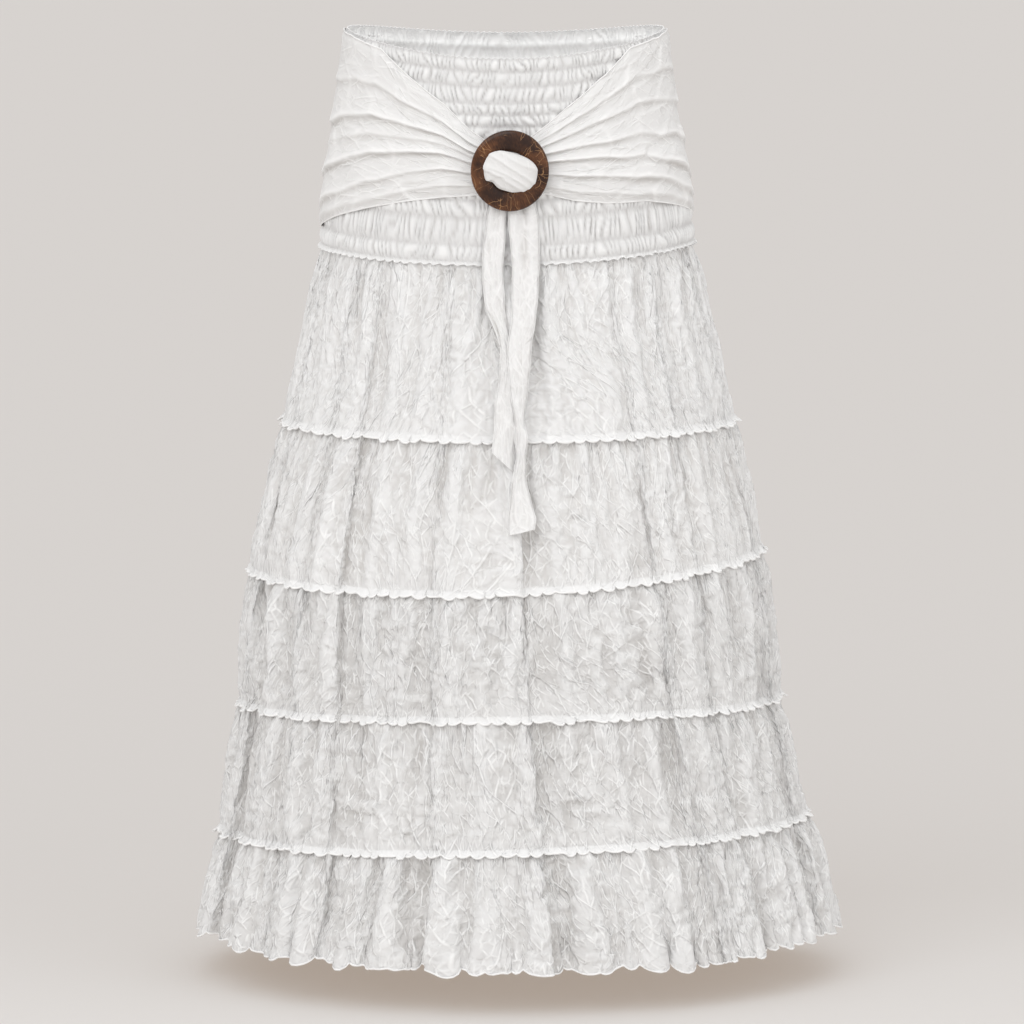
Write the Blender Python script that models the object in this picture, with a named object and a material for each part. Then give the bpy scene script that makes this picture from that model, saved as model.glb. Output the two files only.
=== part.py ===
"""Tiered ruffle skirt with a smocked yoke and a sash drawn through a coconut ring.

The skirt stands open as if worn. The origin is the centre of the waist opening, +Z is up and the
front faces -Y. Sizes are written in millimetres and multiplied by MM where the meshes are made.
Angles run round the body from the front centre: 0 is the front, 90 the wearer's left side (+X),
180 the back and 270 the other side.
"""

from collections import namedtuple

import bpy
import numpy as np

MM = 0.001

# ---------------------------------------------------------------- driving sizes, in millimetres

CLOTH = 1.4  # wall of the gauze tiers
SMOCKED_CLOTH = 1.5  # plain inner part of the yoke's wall, under its puffs
SASH_CLOTH = 1.5
SEAM_GAP = 0.45  # between two pieces that are sewn together

# The body of the skirt at each height: half its width, its reach to the front and to the back, and
# how far its middle sits to one side. Widths are to the middle of the folds.
Level = namedtuple("Level", "z half_width front back centre_x")
PROFILE = (
    Level(20, 151.0, 105, 106, 0),
    Level(0, 152.0, 107, 107, 0),
    Level(-50, 158.0, 113, 117, 0),
    Level(-110, 167.5, 120, 130, 1),
    Level(-170, 176.0, 125, 138, 2),
    Level(-190, 179.0, 127, 140, 2),
    Level(-240, 188.5, 137, 149, 2),
    Level(-300, 202.0, 148, 158, 3),
    Level(-355, 216.5, 158, 168, 3),
    Level(-425, 231.0, 172, 180, 2),
    Level(-490, 247.0, 186, 193, 1),
    Level(-560, 252.0, 196, 201, 2),
    Level(-620, 259.0, 204, 208, 4),
    Level(-690, 270.0, 214, 217, 7),
    Level(-740, 282.5, 225, 227, 10),
    Level(-800, 295.0, 238, 240, 11),
    Level(-860, 312.0, 253, 255, 12),
)

# Each seam line's height at the front, at both sides and at the back.
Seam = namedtuple("Seam", "front right back left")
WAIST_EDGE = Seam(0, 20, 6, 20)
YOKE_SEAM = Seam(-190, -181, -189, -185)
HEM = Seam(-850, -855, -853, -857)
TIER_SEAMS = (
    YOKE_SEAM,
    Seam(-352, -350, -351, -351),
    Seam(-494, -475, -488, -495),
    Seam(-613, -618, -616, -625),
    Seam(-736, -732, -738, -749),
    HEM,
)

# The large hollows that run down through the tiers: where each starts and ends round the body, its
# half width in degrees, the height it starts at and its depth there and at the hem.
Hollow = namedtuple("Hollow", "top_angle hem_angle half_width start_z top_depth hem_depth")
HOLLOWS = (
    Hollow(-38, -34, 3.6, -215, 5.0, 11.0),
    Hollow(-55, -56, 3.0, -500, 2.0, 8.0),
    Hollow(-20, -19, 3.0, -365, 3.0, 8.0),
    Hollow(5, 9, 3.2, -215, 4.0, 9.0),
    Hollow(29, 37, 3.4, -205, 4.0, 8.0),
    Hollow(50, 51, 3.2, -260, 3.0, 11.0),
    Hollow(72, 70, 3.0, -365, 3.0, 8.0),
    Hollow(96, 93, 3.6, -230, 5.0, 10.0),
    Hollow(118, 121, 3.0, -365, 3.0, 9.0),
    Hollow(139, 136, 3.4, -215, 4.5, 10.0),
    Hollow(158, 160, 3.2, -365, 3.0, 8.0),
    Hollow(181, 178, 3.6, -215, 5.0, 11.0),
    Hollow(203, 206, 3.0, -500, 2.0, 8.0),
    Hollow(222, 219, 3.4, -215, 4.5, 10.0),
    Hollow(246, 248, 3.0, -365, 3.0, 8.0),
    Hollow(268, 265, 3.6, -230, 5.0, 10.0),
    Hollow(291, 288, 3.2, -365, 3.0, 9.0),
)

# Every tier has the same columns of points, so that the tiers meet exactly along their seams.
TIER_COLUMNS = 120
COLUMN_SWAY = 0.35  # how unevenly the columns are spaced, in columns

# One row for each tier, from the top: the columns that each of its folds takes in turn, how far
# down its belly is as a share of its height, how far the belly stands out, and how deep its folds
# are at the belly and at the lower edge.
Tier = namedtuple("Tier", "name fold_columns belly_at puff belly_fold edge_fold")
TIERS = (
    Tier("tier_1", (4, 5, 4, 3), 0.45, 2.0, 4.5, 2.6),
    Tier("tier_2", (4, 3, 5, 4, 3), 0.50, 2.5, 5.0, 2.8),
    Tier("tier_3", (3, 4, 3, 4), 0.50, 3.0, 5.5, 3.0),
    Tier("tier_4", (4, 3, 3, 2), 0.50, 3.0, 5.5, 3.2),
    Tier("tier_5", (3, 4, 2, 3), 0.50, 2.5, 6.5, 9.0),
)
FOLD_PHASES = (0, 2, 1, 3, 1)  # columns that each tier's folds are moved round by

LIP_DROP = 7.0  # the free edge below each seam's stitches
LIP_FLARE = 4.2
LIP_FOLD = 1.3  # how much deeper the folds are along that free edge
HEM_SCALLOP = 3.5  # how far the hem hangs lower on the outside of each fold

YOKE_COLUMNS = 72
PUFF_ROWS = 9  # rows of smocking, between lines of elastic
PUFF_HEIGHT = 1.6
RIB_HEIGHT = 1.0
YOKE_LIP_DROP = 5.0
YOKE_LIP_FLARE = 2.0

SASH_SIDE_ANGLE = 92.0
SASH_SEAM_ANGLE = 0.15  # gap at the sides, in degrees
SASH_LIFT = PUFF_HEIGHT + RIB_HEIGHT + 1.3
SASH_PLEATS = 5
SASH_PLEAT_AT_SIDE = 3.0
SASH_PLEAT_AT_RING = 4.6

# The sash's upper and lower edges from the side to the ring, on both halves of the front, and how
# much further it stands out there.
SashEdge = namedtuple(
    "SashEdge", "angle top_left bottom_left out_left top_right bottom_right out_right"
)
SASH_FRONT = (
    SashEdge(92.0, 17, -170, 3.0, 17, -158, 0.5),
    SashEdge(72.0, 14, -157, 2.2, 14, -145, 0.5),
    SashEdge(50.0, 6, -143, 1.0, 7, -136, 0.5),
    SashEdge(33.5, -22, -134, 0.3, -23, -136, 0.3),
    SashEdge(21.0, -44, -129, 0.0, -47, -132, 0.0),
    SashEdge(12.0, -67, -127, 0.0, -66, -125, 0.0),
    SashEdge(7.2, -76, -125, 0.0, -75, -123, 0.0),
)
SASH_FRONT_STEPS = 9
SASH_BACK_STEPS = 18
SASH_BACK_DIP = 22.0  # how far the sash's upper edge drops at the back
SASH_BACK_SAG = 8.0  # and its lower edge

RING_CENTRE_X = 4.0
RING_CENTRE_Z = -103.0
RING_OUTER = 37.0
RING_INNER = 20.0
RING_BACK = 131.8  # distance of its back face in front of the waist's middle
RING_THICKNESS = 6.4
RING_ROUNDING = 2.2
RING_TALL = 1.04  # a slice of shell is a little taller than it is wide
RING_STEPS = 36

# The bunch of sash that is pulled through the ring, from behind it to its front. Each reach is in
# front of the ring's back face.
KnotStep = namedtuple("KnotStep", "reach half_width half_height")
KNOT = (
    KnotStep(-7.8, 12.0, 10.0),
    KnotStep(-6.4, 18.5, 16.0),
    KnotStep(-0.6, 19.2, 18.0),
    KnotStep(0.6, 19.4, 19.4),
    KnotStep(6.7, 19.4, 19.4),
    KnotStep(7.0, 24.5, 18.6),
    KnotStep(11.2, 27.0, 19.4),
    KnotStep(16.6, 22.5, 15.5),
    KnotStep(19.6, 12.0, 8.0),
)
KNOT_STEPS = 20
KNOT_TURN = 14.0  # the bunch lies aslant, in degrees

# The two tails: at each height, how far their middle is to one side of the ring's, their width, how
# far they stand off the skirt's front there, and how far their own middle is lifted.
TailStep = namedtuple("TailStep", "z x width lift crown")
TAIL_LEFT = (
    TailStep(-120.0, -9.5, 14, 3.2, 0.6),
    TailStep(-147.0, -13.0, 18, 3.2, 1.6),
    TailStep(-187.0, -18.0, 18, 5.2, 2.4),
    TailStep(-224.0, -15.5, 15, 7.2, 1.0),
    TailStep(-252.0, -10.0, 10, 7.6, 0.6),
    TailStep(-272.0, -6.5, 11, 7.6, 0.6),
    TailStep(-296.0, -8.0, 15, 7.8, 1.2),
    TailStep(-333.0, -7.0, 18, 8.6, 1.4),
    TailStep(-355.0, -7.5, 20, 10.4, 1.4),
    TailStep(-367.0, -7.0, 19, 10.6, 1.0),
)
TAIL_RIGHT = (
    TailStep(-120.0, 9.5, 14, 3.2, 0.6),
    TailStep(-144.0, 19.0, 13, 3.4, 1.2),
    TailStep(-187.0, 18.5, 15, 6.6, 2.0),
    TailStep(-215.0, 16.0, 19, 9.0, 1.6),
    TailStep(-242.0, 11.5, 24, 10.6, 1.4),
    TailStep(-270.0, 8.0, 22, 11.2, 2.0),
    TailStep(-292.0, 6.0, 16, 11.4, 2.4),
    TailStep(-318.0, 6.7, 14, 11.8, 2.6),
    TailStep(-360.0, 8.0, 15, 14.0, 2.4),
    TailStep(-393.0, 7.7, 17, 12.6, 2.0),
    TailStep(-418.0, 10.4, 24, 12.0, 2.8),
    TailStep(-428.0, 9.0, 22, 12.0, 2.4),
)
TAIL_LEFT_SLANT = 14.0  # how much lower one corner of the cut end hangs
TAIL_RIGHT_SLANT = -12.0
TAIL_CLOTH = 1.3

# ------------------------------------------------------------------------------------ materials

Finish = namedtuple("Finish", "colour roughness")
FINISHES = {
    "white_gauze": Finish((0.88, 0.88, 0.87), 0.9),
    "coconut_shell": Finish((0.13, 0.055, 0.025), 0.35),
}


def material(name):
    """The named finish as a material, made once."""
    made = bpy.data.materials.get(name)
    if made:
        return made
    finish = FINISHES[name]
    made = bpy.data.materials.new(name)
    made.use_nodes = True
    shader = made.node_tree.nodes["Principled BSDF"]
    shader.inputs["Base Color"].default_value = (*finish.colour, 1.0)
    shader.inputs["Roughness"].default_value = finish.roughness
    shader.inputs["Metallic"].default_value = 0.0
    made.diffuse_color = (*finish.colour, 1.0)
    return made


# ------------------------------------------------------------------------------------- the body


def along_profile(z):
    """Half width, front reach, back reach and middle of the body at the heights z."""
    rows = sorted(PROFILE)
    heights = [row.z for row in rows]
    columns = ("half_width", "front", "back", "centre_x")
    return [np.interp(z, heights, [getattr(row, column) for row in rows]) for column in columns]


def body_point(angle, z, out=0.0):
    """Points at these angles and heights, moved out of the body's surface by so many mm.

    The section is half an ellipse to the front and half a deeper one to the back.
    """
    angle, z, out = np.broadcast_arrays(np.radians(angle), np.asarray(z, float), out)
    half_width, front, back, centre_x = along_profile(z)
    reach = np.where(np.cos(angle) > 0, front, back)
    normal = np.stack([np.sin(angle) / half_width, -np.cos(angle) / reach], axis=-1)
    normal = normal / np.linalg.norm(normal, axis=-1, keepdims=True)
    x = centre_x + half_width * np.sin(angle) + out * normal[..., 0]
    y = -reach * np.cos(angle) + out * normal[..., 1]
    return np.stack([x, y, z], axis=-1)


def seam_height(seam, angle):
    """The seam's height round the body: the smooth wave through its four heights."""
    turn = np.radians(angle)
    mean = sum(seam) / 4
    front_back = (seam.front - seam.back) / 2
    right_left = (seam.right - seam.left) / 2
    twice = (seam.front + seam.back - seam.right - seam.left) / 4
    return mean + front_back * np.cos(turn) + right_left * np.sin(turn) + twice * np.cos(2 * turn)


def hollows(angle, z):
    """How deep the large hollows are at these angles and heights, as soft troughs."""
    hem_z = HEM.front
    depth = np.zeros(np.broadcast(angle, z).shape)
    for row in HOLLOWS:
        way = np.clip((row.start_z - z) / (row.start_z - hem_z), 0, 1)
        centre = row.top_angle + (row.hem_angle - row.top_angle) * way
        off = (angle - centre + 180) % 360 - 180
        fade_in = np.clip((row.start_z + 15 - z) / 30, 0, 1)
        size = row.top_depth + (row.hem_depth - row.top_depth) * way
        depth += size * fade_in * np.exp(-((off / row.half_width) ** 2))
    return depth


# ---------------------------------------------------------------------------------- mesh making


def add_object(name, points, faces, finish):
    """A named object of these points, in mm, with smooth sides and crisp folds."""
    mesh = bpy.data.meshes.new(name)
    mesh.from_pydata((np.asarray(points) * MM).tolist(), [], faces)
    mesh.materials.append(material(finish))
    mesh.validate()
    mesh.shade_smooth()
    mesh.set_sharp_from_angle(angle=np.radians(50))
    made = bpy.data.objects.new(name, mesh)
    bpy.context.scene.collection.objects.link(made)
    return made


def ring_faces(first, second, columns):
    """Quads between two closed rings of points that start at these indices."""
    steps = [(c, (c + 1) % columns) for c in range(columns)]
    return [(first + a, first + b, second + b, second + a) for a, b in steps]


def paired_triangles(first, second, columns, leans):
    """Triangles between two closed rings of points, each quad cut the way that leans says."""
    faces = []
    for a in range(columns):
        b = (a + 1) % columns
        if leans[a]:
            faces += [(first + a, first + b, second + b), (first + a, second + b, second + a)]
        else:
            faces += [(first + a, first + b, second + a), (first + b, second + b, second + a)]
    return faces


def tube_wall(name, outer_rings, inner_rings, finish):
    """A closed tube wall from its outer rings and its inner rings, both from the top down.

    Where both sides have the same rings, each quad is cut along its shorter diagonal on the
    outside and along the same one on the inside, so the wall is as thick all over.
    """
    columns = len(outer_rings[0])
    rings = list(outer_rings) + list(inner_rings)[::-1]
    last = len(rings) - 1
    paired = len(outer_rings) == len(inner_rings)
    faces = []
    for row in range(len(rings)):
        below = (row + 1) % len(rings)
        if not paired or row in (len(outer_rings) - 1, last):
            faces += ring_faces(below * columns, row * columns, columns)
            continue
        # both sides are measured on the outside, so that they are cut alike
        here, there = (row, below) if row < len(outer_rings) else (last - row, last - below)
        near, far = np.asarray(outer_rings[here]), np.asarray(outer_rings[there])
        leaning = np.linalg.norm(far - np.roll(near, -1, axis=0), axis=1)
        other = np.linalg.norm(near - np.roll(far, -1, axis=0), axis=1)
        leans = leaning < other
        faces += paired_triangles(below * columns, row * columns, columns, leans)
    return add_object(name, np.concatenate(rings), faces, finish)


def panel_wall(name, outer, inner, finish):
    """A closed panel from two grids of points: its outer face and its inner face.

    Both grids have rows down the panel and columns round it.
    """
    rows, columns = outer.shape[:2]
    inside = rows * columns

    def at(row, column):
        return row * columns + column

    faces = []
    for r in range(rows - 1):
        for c in range(columns - 1):
            corners = (at(r, c), at(r + 1, c), at(r + 1, c + 1), at(r, c + 1))
            faces.append(corners)
            faces.append(tuple(inside + i for i in reversed(corners)))
    border = [at(0, c) for c in range(columns)]
    border += [at(r, columns - 1) for r in range(1, rows)]
    border += [at(rows - 1, c) for c in range(columns - 2, -1, -1)]
    border += [at(r, 0) for r in range(rows - 2, 0, -1)]
    for a, b in zip(border, border[1:] + border[:1]):
        faces.append((a, b, inside + b, inside + a))
    points = np.concatenate([outer.reshape(-1, 3), inner.reshape(-1, 3)])
    return add_object(name, points, faces, finish)


def moved_in(ring, distance):
    """The ring of points moved inwards by a level distance, square to its own folded outline."""
    ahead = np.roll(ring, -1, axis=0) - ring
    behind = ring - np.roll(ring, 1, axis=0)
    out_ahead = np.stack([-ahead[:, 1], ahead[:, 0]], axis=1)
    out_behind = np.stack([-behind[:, 1], behind[:, 0]], axis=1)
    out_ahead /= np.linalg.norm(out_ahead, axis=1, keepdims=True)
    out_behind /= np.linalg.norm(out_behind, axis=1, keepdims=True)
    inward = out_ahead + out_behind
    inward /= np.linalg.norm(inward, axis=1, keepdims=True)
    corner = np.sum(inward * out_ahead, axis=1, keepdims=True)
    moved = ring.copy()
    moved[:, :2] += inward * distance / corner
    return moved


# ---------------------------------------------------------------------------------------- tiers


def tier_angles():
    """The angles of the tiers' columns, spaced a little unevenly, as gathers are."""
    step = np.arange(TIER_COLUMNS)
    turn = 2 * np.pi * step / TIER_COLUMNS
    sway = COLUMN_SWAY * (np.sin(5 * turn + 0.4) + 0.8 * np.sin(13 * turn + 1.1))
    return 360.0 * (step + sway) / TIER_COLUMNS


def fold_wave(tier, moved_round):
    """1 on the outside of each of the tier's folds and -1 in the inside, at each column."""
    wave = []
    widths = tier.fold_columns
    fold = 0
    while len(wave) < TIER_COLUMNS:
        width = min(widths[fold % len(widths)], TIER_COLUMNS - len(wave))
        wave += [np.cos(2 * np.pi * i / width) for i in range(width)]
        fold += 1
    return np.roll(wave, moved_round)


def fold_share(angle, number):
    """How deep a tier's folds are round the body, as a share of their size."""
    turn = np.radians(angle)
    return 1.0 + 0.28 * np.cos(3 * turn + 1.7 * number) + 0.2 * np.cos(7 * turn + 0.9 * number)


def tier_rings(number, top_ring):
    """The outer rings of a tier, from the top down. top_ring is where it is sewn on."""
    tier = TIERS[number]
    upper, lower = TIER_SEAMS[number], TIER_SEAMS[number + 1]
    angle = tier_angles()
    share = fold_share(angle, number)
    wave = fold_wave(tier, FOLD_PHASES[number]) * share
    upper_z, lower_z = seam_height(upper, angle), seam_height(lower, angle)

    belly_z = upper_z + (lower_z - upper_z) * tier.belly_at
    belly = tier.puff + tier.belly_fold * wave - hollows(angle, belly_z)
    if lower is HEM:
        low_z = upper_z + (lower_z - upper_z) * (1 + tier.belly_at) / 2
        low_fold = (tier.belly_fold + tier.edge_fold) / 2
        low = tier.puff / 2 + low_fold * wave - hollows(angle, low_z)
        hem_z = lower_z - HEM_SCALLOP * wave
        hem = tier.edge_fold * wave - hollows(angle, lower_z)
        last = [body_point(angle, low_z, low), body_point(angle, hem_z, hem)]
    else:
        edge = tier.edge_fold * wave - hollows(angle, lower_z)
        lip = LIP_FLARE + LIP_FOLD * tier.edge_fold * wave - hollows(angle, lower_z)
        last = [
            body_point(angle, lower_z, edge),
            body_point(angle, lower_z - LIP_DROP, lip),
        ]
    return [top_ring, body_point(angle, belly_z, belly), *last]


def build_tiers():
    """The five gathered tiers. Each hangs from just inside the free edge of the one above."""
    angle = tier_angles()
    yoke_foot = body_point(angle, seam_height(YOKE_SEAM, angle), -SMOCKED_CLOTH - SEAM_GAP)
    top_ring = yoke_foot
    for number, tier in enumerate(TIERS):
        outer = tier_rings(number, top_ring)
        inner = [moved_in(ring, CLOTH) for ring in outer]
        tube_wall(tier.name, outer, inner, "white_gauze")
        stitch_line = outer[2]
        top_ring = moved_in(stitch_line, CLOTH + SEAM_GAP)


# ----------------------------------------------------------------------------------------- yoke


def build_yoke():
    """The smocked yoke: rows of puffs, ribbed by the gathers, over a plain inner face."""
    angle = 360.0 * np.arange(YOKE_COLUMNS) / YOKE_COLUMNS
    rib = RIB_HEIGHT * np.where(np.arange(YOKE_COLUMNS) % 2 == 0, 1.0, -1.0)
    top_z, foot_z = seam_height(WAIST_EDGE, angle), seam_height(YOKE_SEAM, angle)
    rows = 2 * PUFF_ROWS
    outer = []
    for row in range(rows + 1):
        z = top_z + (foot_z - top_z) * row / rows
        on_elastic = row % 2 == 0 and row > 0
        out = 0.3 * rib if on_elastic else PUFF_HEIGHT + rib
        if row == 0:
            out = 0.5 * PUFF_HEIGHT + rib
        outer.append(body_point(angle, z, out))
    outer.append(body_point(angle, foot_z - YOKE_LIP_DROP, YOKE_LIP_FLARE + rib))
    inner = []
    for share in (0.0, 0.35, 0.7, 1.0):
        inner.append(body_point(angle, top_z + (foot_z - top_z) * share, -SMOCKED_CLOTH))
    lip_inside = YOKE_LIP_FLARE - RIB_HEIGHT - 1.2
    inner.append(body_point(angle, foot_z - YOKE_LIP_DROP, lip_inside))
    return tube_wall("yoke", outer, inner, "white_gauze")


# ----------------------------------------------------------------------------------------- sash


def pleats(across, height):
    """The sash's pleats: 0 along its edges and in each pleat's root, height on each crest."""
    return height * (0.5 - 0.5 * np.cos(2 * np.pi * SASH_PLEATS * across))


def sash_panel(name, angle, top_z, bottom_z, out, pleat_height):
    """One stretch of the sash between two edges that run round the body."""
    across = np.linspace(0, 1, 2 * SASH_PLEATS + 1)[:, None]
    z = top_z + (bottom_z - top_z) * across
    lift = SASH_LIFT + out + pleats(across, pleat_height)
    inner = body_point(angle, z, lift)
    outer = body_point(angle, z, lift + SASH_CLOTH)
    return panel_wall(name, outer, inner, "white_gauze")


def sash_column(rows, column, angle):
    """One column of the sash's table, read at these angles."""
    return np.interp(angle, [row.angle for row in rows], [getattr(row, column) for row in rows])


def build_front_sash(side, half):
    """The half of the sash that runs from one side to the ring. side is -1 or 1."""
    rows = SASH_FRONT[::-1]
    angle = np.linspace(rows[-1].angle, rows[0].angle, SASH_FRONT_STEPS + 1)
    angle = angle if side < 0 else angle[::-1]
    top_z, bottom_z, out = (
        sash_column(rows, column + half, angle) for column in ("top_", "bottom_", "out_")
    )
    near_ring = (rows[-1].angle - angle) / (rows[-1].angle - rows[0].angle)
    pleat = SASH_PLEAT_AT_SIDE + (SASH_PLEAT_AT_RING - SASH_PLEAT_AT_SIDE) * near_ring
    return sash_panel("sash_" + half, side * angle, top_z, bottom_z, out, pleat)


def build_back_sash():
    """The stretch of sash round the back, from side seam to side seam."""
    first = SASH_SIDE_ANGLE + SASH_SEAM_ANGLE
    angle = np.linspace(first, 360 - first, SASH_BACK_STEPS + 1)
    way = (angle - first) / (angle[-1] - first)
    side = SASH_FRONT[0]
    top_z = side.top_right + (side.top_left - side.top_right) * way
    bottom_z = side.bottom_right + (side.bottom_left - side.bottom_right) * way
    out = side.out_right + (side.out_left - side.out_right) * way
    middle = np.sin(np.pi * way)
    top_z = top_z - SASH_BACK_DIP * middle
    bottom_z = bottom_z - SASH_BACK_SAG * middle
    return sash_panel("sash_back", angle, top_z, bottom_z, out, SASH_PLEAT_AT_SIDE)


def build_ring():
    """The coconut ring: a rounded flat band turned about the axis that points to the front."""
    back, front = RING_BACK, RING_BACK + RING_THICKNESS
    rounding = RING_ROUNDING
    profile = (
        (RING_INNER, back + rounding),
        (RING_INNER + rounding, back),
        (RING_OUTER - rounding, back),
        (RING_OUTER, back + rounding),
        (RING_OUTER, front - 1.6 * rounding),
        (RING_OUTER - 0.6 * rounding, front - 0.6 * rounding),
        (RING_OUTER - 2.6 * rounding, front),
        (RING_INNER + 1.6 * rounding, front),
        (RING_INNER, front - rounding),
    )
    turn = 2 * np.pi * np.arange(RING_STEPS) / RING_STEPS
    rings = []
    for radius, reach in profile:
        x = RING_CENTRE_X + radius * np.cos(turn)
        z = RING_CENTRE_Z + RING_TALL * radius * np.sin(turn)
        rings.append(np.stack([x, np.full_like(x, -reach), z], axis=1))
    columns = RING_STEPS
    faces = []
    for row in range(len(rings)):
        following = (row + 1) % len(rings)
        faces += ring_faces(row * columns, following * columns, columns)
    return add_object("ring_buckle", np.concatenate(rings), faces, "coconut_shell")


def build_knot():
    """The bunch of cloth in the ring: closed rings of points from behind it to its front."""
    turn = 2 * np.pi * np.arange(KNOT_STEPS) / KNOT_STEPS
    tilt = np.radians(KNOT_TURN)
    rings = []
    for step in KNOT:
        x, z = step.half_width * np.cos(turn), step.half_height * np.sin(turn)
        x, z = x * np.cos(tilt) + z * np.sin(tilt), z * np.cos(tilt) - x * np.sin(tilt)
        y = np.full_like(x, -RING_BACK - step.reach)
        rings.append(np.stack([RING_CENTRE_X + x, y, RING_CENTRE_Z + z], axis=1))
    faces = []
    for row in range(len(rings) - 1):
        faces += ring_faces(row * KNOT_STEPS, (row + 1) * KNOT_STEPS, KNOT_STEPS)
    faces.append(tuple(range(KNOT_STEPS - 1, -1, -1)))
    last = (len(rings) - 1) * KNOT_STEPS
    faces.append(tuple(last + i for i in range(KNOT_STEPS)))
    return add_object("sash_knot", np.concatenate(rings), faces, "white_gauze")


def build_tail(name, steps, slant):
    """A tail of the sash: a narrow strip with a soft crease down its middle."""
    across = np.array([-0.5, -0.2, 0.2, 0.5])
    crown = np.array([0.0, 1.0, 0.7, 0.0])
    outer = []
    for number, step in enumerate(steps):
        x = RING_CENTRE_X + step.x + step.width * across
        end = number == len(steps) - 1
        z = step.z - (slant * (across + 0.5) if end else np.zeros_like(x))
        front = along_profile(np.asarray(step.z))[1]
        y = -(front + step.lift + TAIL_CLOTH + step.crown * crown)
        outer.append(np.stack([x, y, z], axis=1))
    outer = np.array(outer)
    inner = outer + np.array([0.0, TAIL_CLOTH, 0.0])
    return panel_wall(name, outer, inner, "white_gauze")


# ------------------------------------------------------------------------------------- assembly


def main():
    for old in list(bpy.data.objects):
        bpy.data.objects.remove(old)
    build_yoke()
    build_tiers()
    build_front_sash(-1, "left")
    build_front_sash(1, "right")
    build_back_sash()
    build_ring()
    build_knot()
    build_tail("tail_left", TAIL_LEFT, TAIL_LEFT_SLANT)
    build_tail("tail_right", TAIL_RIGHT, TAIL_RIGHT_SLANT)


main()
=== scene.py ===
"""The dressed model of a tiered ruffle skirt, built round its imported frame.

Sizes are in millimetres and are multiplied by MM where a mesh is made. +Z is up, the front faces
-Y, and turns run round the body in degrees: 0 is the front, 90 the wearer's left side (+X), 180 the
back and 270 the other side.
"""

import logging
import math
from dataclasses import dataclass
from enum import Enum
from functools import cache
from typing import NamedTuple

import bpy
import numpy as np
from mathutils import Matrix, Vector


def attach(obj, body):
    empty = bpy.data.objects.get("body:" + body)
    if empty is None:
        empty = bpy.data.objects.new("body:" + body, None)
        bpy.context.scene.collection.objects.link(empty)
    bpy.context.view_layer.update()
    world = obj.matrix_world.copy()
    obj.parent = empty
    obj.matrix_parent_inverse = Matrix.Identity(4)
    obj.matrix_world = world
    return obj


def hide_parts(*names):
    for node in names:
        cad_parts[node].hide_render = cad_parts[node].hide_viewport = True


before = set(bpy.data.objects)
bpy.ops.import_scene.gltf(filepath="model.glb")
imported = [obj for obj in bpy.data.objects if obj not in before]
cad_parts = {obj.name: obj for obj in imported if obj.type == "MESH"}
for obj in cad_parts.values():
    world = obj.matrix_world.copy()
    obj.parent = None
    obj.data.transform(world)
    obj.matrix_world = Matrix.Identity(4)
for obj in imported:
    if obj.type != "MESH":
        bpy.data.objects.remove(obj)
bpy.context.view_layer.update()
LOG = logging.getLogger("skirt")
MM = 0.001
RING_X, RING_BACK, RING_Z = 4.0, -131.8, -103.0
SEWN_IN = 6.0
ROLL = ((0.5, 0.9), (1.5, 1.0), (2.1, 0.1), (1.5, -0.9), (0.4, -0.7))
ABOVE = ((len(ROLL), 0), (0, 0))
BELOW = ((0, len(ROLL)), (0, 0))
BOTH_ENDS = ((len(ROLL), len(ROLL)), (0, 0))
Array = np.ndarray
Size = float | Array
Colour = tuple[float, float, float]


# ---------------------------------------------------------------------------- curves and noise


def ease(value: Size, low: float, high: float) -> Size:
    """A soft step: 0 below low, 1 above high and 3t^2 - 2t^3 between them."""
    t = np.clip((value - low) / (high - low), 0.0, 1.0)
    return t * t * (3.0 - 2.0 * t)


def bell(value: Size, width: float) -> Size:
    """A bell of height 1: exp(-(value / width)^2)."""
    return np.exp(-((value / width) ** 2))


def ledge(below: Array, swell: float, drop: float) -> Array:
    """A fold's ledge: exp(below / swell) above its line, where below is 0, and a bell under it."""
    above, under = np.minimum(below, 0.0), np.maximum(below, 0.0)
    return np.where(below < 0.0, np.exp(above / swell), bell(under, drop))


def signed_power(wave: Array, exponent: float) -> Array:
    """The wave's size to a power, with the wave's own sign."""
    return np.sign(wave) * np.abs(wave) ** exponent


def smoothed(line: Array, weights: Array) -> Array:
    """The line's running mean with these weights, its ends carried on."""
    padded = np.pad(line, len(weights) // 2, mode="edge")
    return np.convolve(padded, weights / weights.sum(), mode="valid")


def soft_noise(u: Size, v: Size, around: int, seed: int) -> Array:
    """Smooth noise of about -1 to 1 that repeats after so many cells of u.

    Each whole-number corner has a random slope. The noise is the heights of the four slopes round
    a point, blended by the quintic 6t^5 - 15t^4 + 10t^3 across its cell.

    Args:
        u: positions round the piece, in cells.
        v: positions along it, in cells.
        around: the cells after which the noise repeats in u.
        seed: picks the slopes.

    Returns:
        The noise at each point.
    """
    u, v = np.broadcast_arrays(np.asarray(u, float), np.asarray(v, float))
    low = int(np.floor(v.min()))
    rows = int(np.floor(v.max())) - low + 2
    turn = np.random.default_rng(seed).uniform(0.0, 2.0 * np.pi, (rows, around))
    slope_u, slope_v = np.cos(turn), np.sin(turn)
    cell_u, cell_v = np.floor(u).astype(int), np.floor(v).astype(int)
    at_u, at_v = u - cell_u, v - cell_v
    blend_u, blend_v = (t**3 * (t * (6.0 * t - 15.0) + 10.0) for t in (at_u, at_v))
    edges = []
    for dv in (0, 1):
        corners = [(cell_v + dv - low, (cell_u + du) % around) for du in (0, 1)]
        one, other = (
            slope_u[corner] * (at_u - du) + slope_v[corner] * (at_v - dv)
            for du, corner in enumerate(corners)
        )
        edges.append(one + blend_u * (other - one))
    return 1.5 * (edges[0] + blend_v * (edges[1] - edges[0]))


class Facets(NamedTuple):
    """Crumpled facets: their height, about -1 to 1, and how near each point is to a crease."""

    height: Array
    crease: Array


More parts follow.
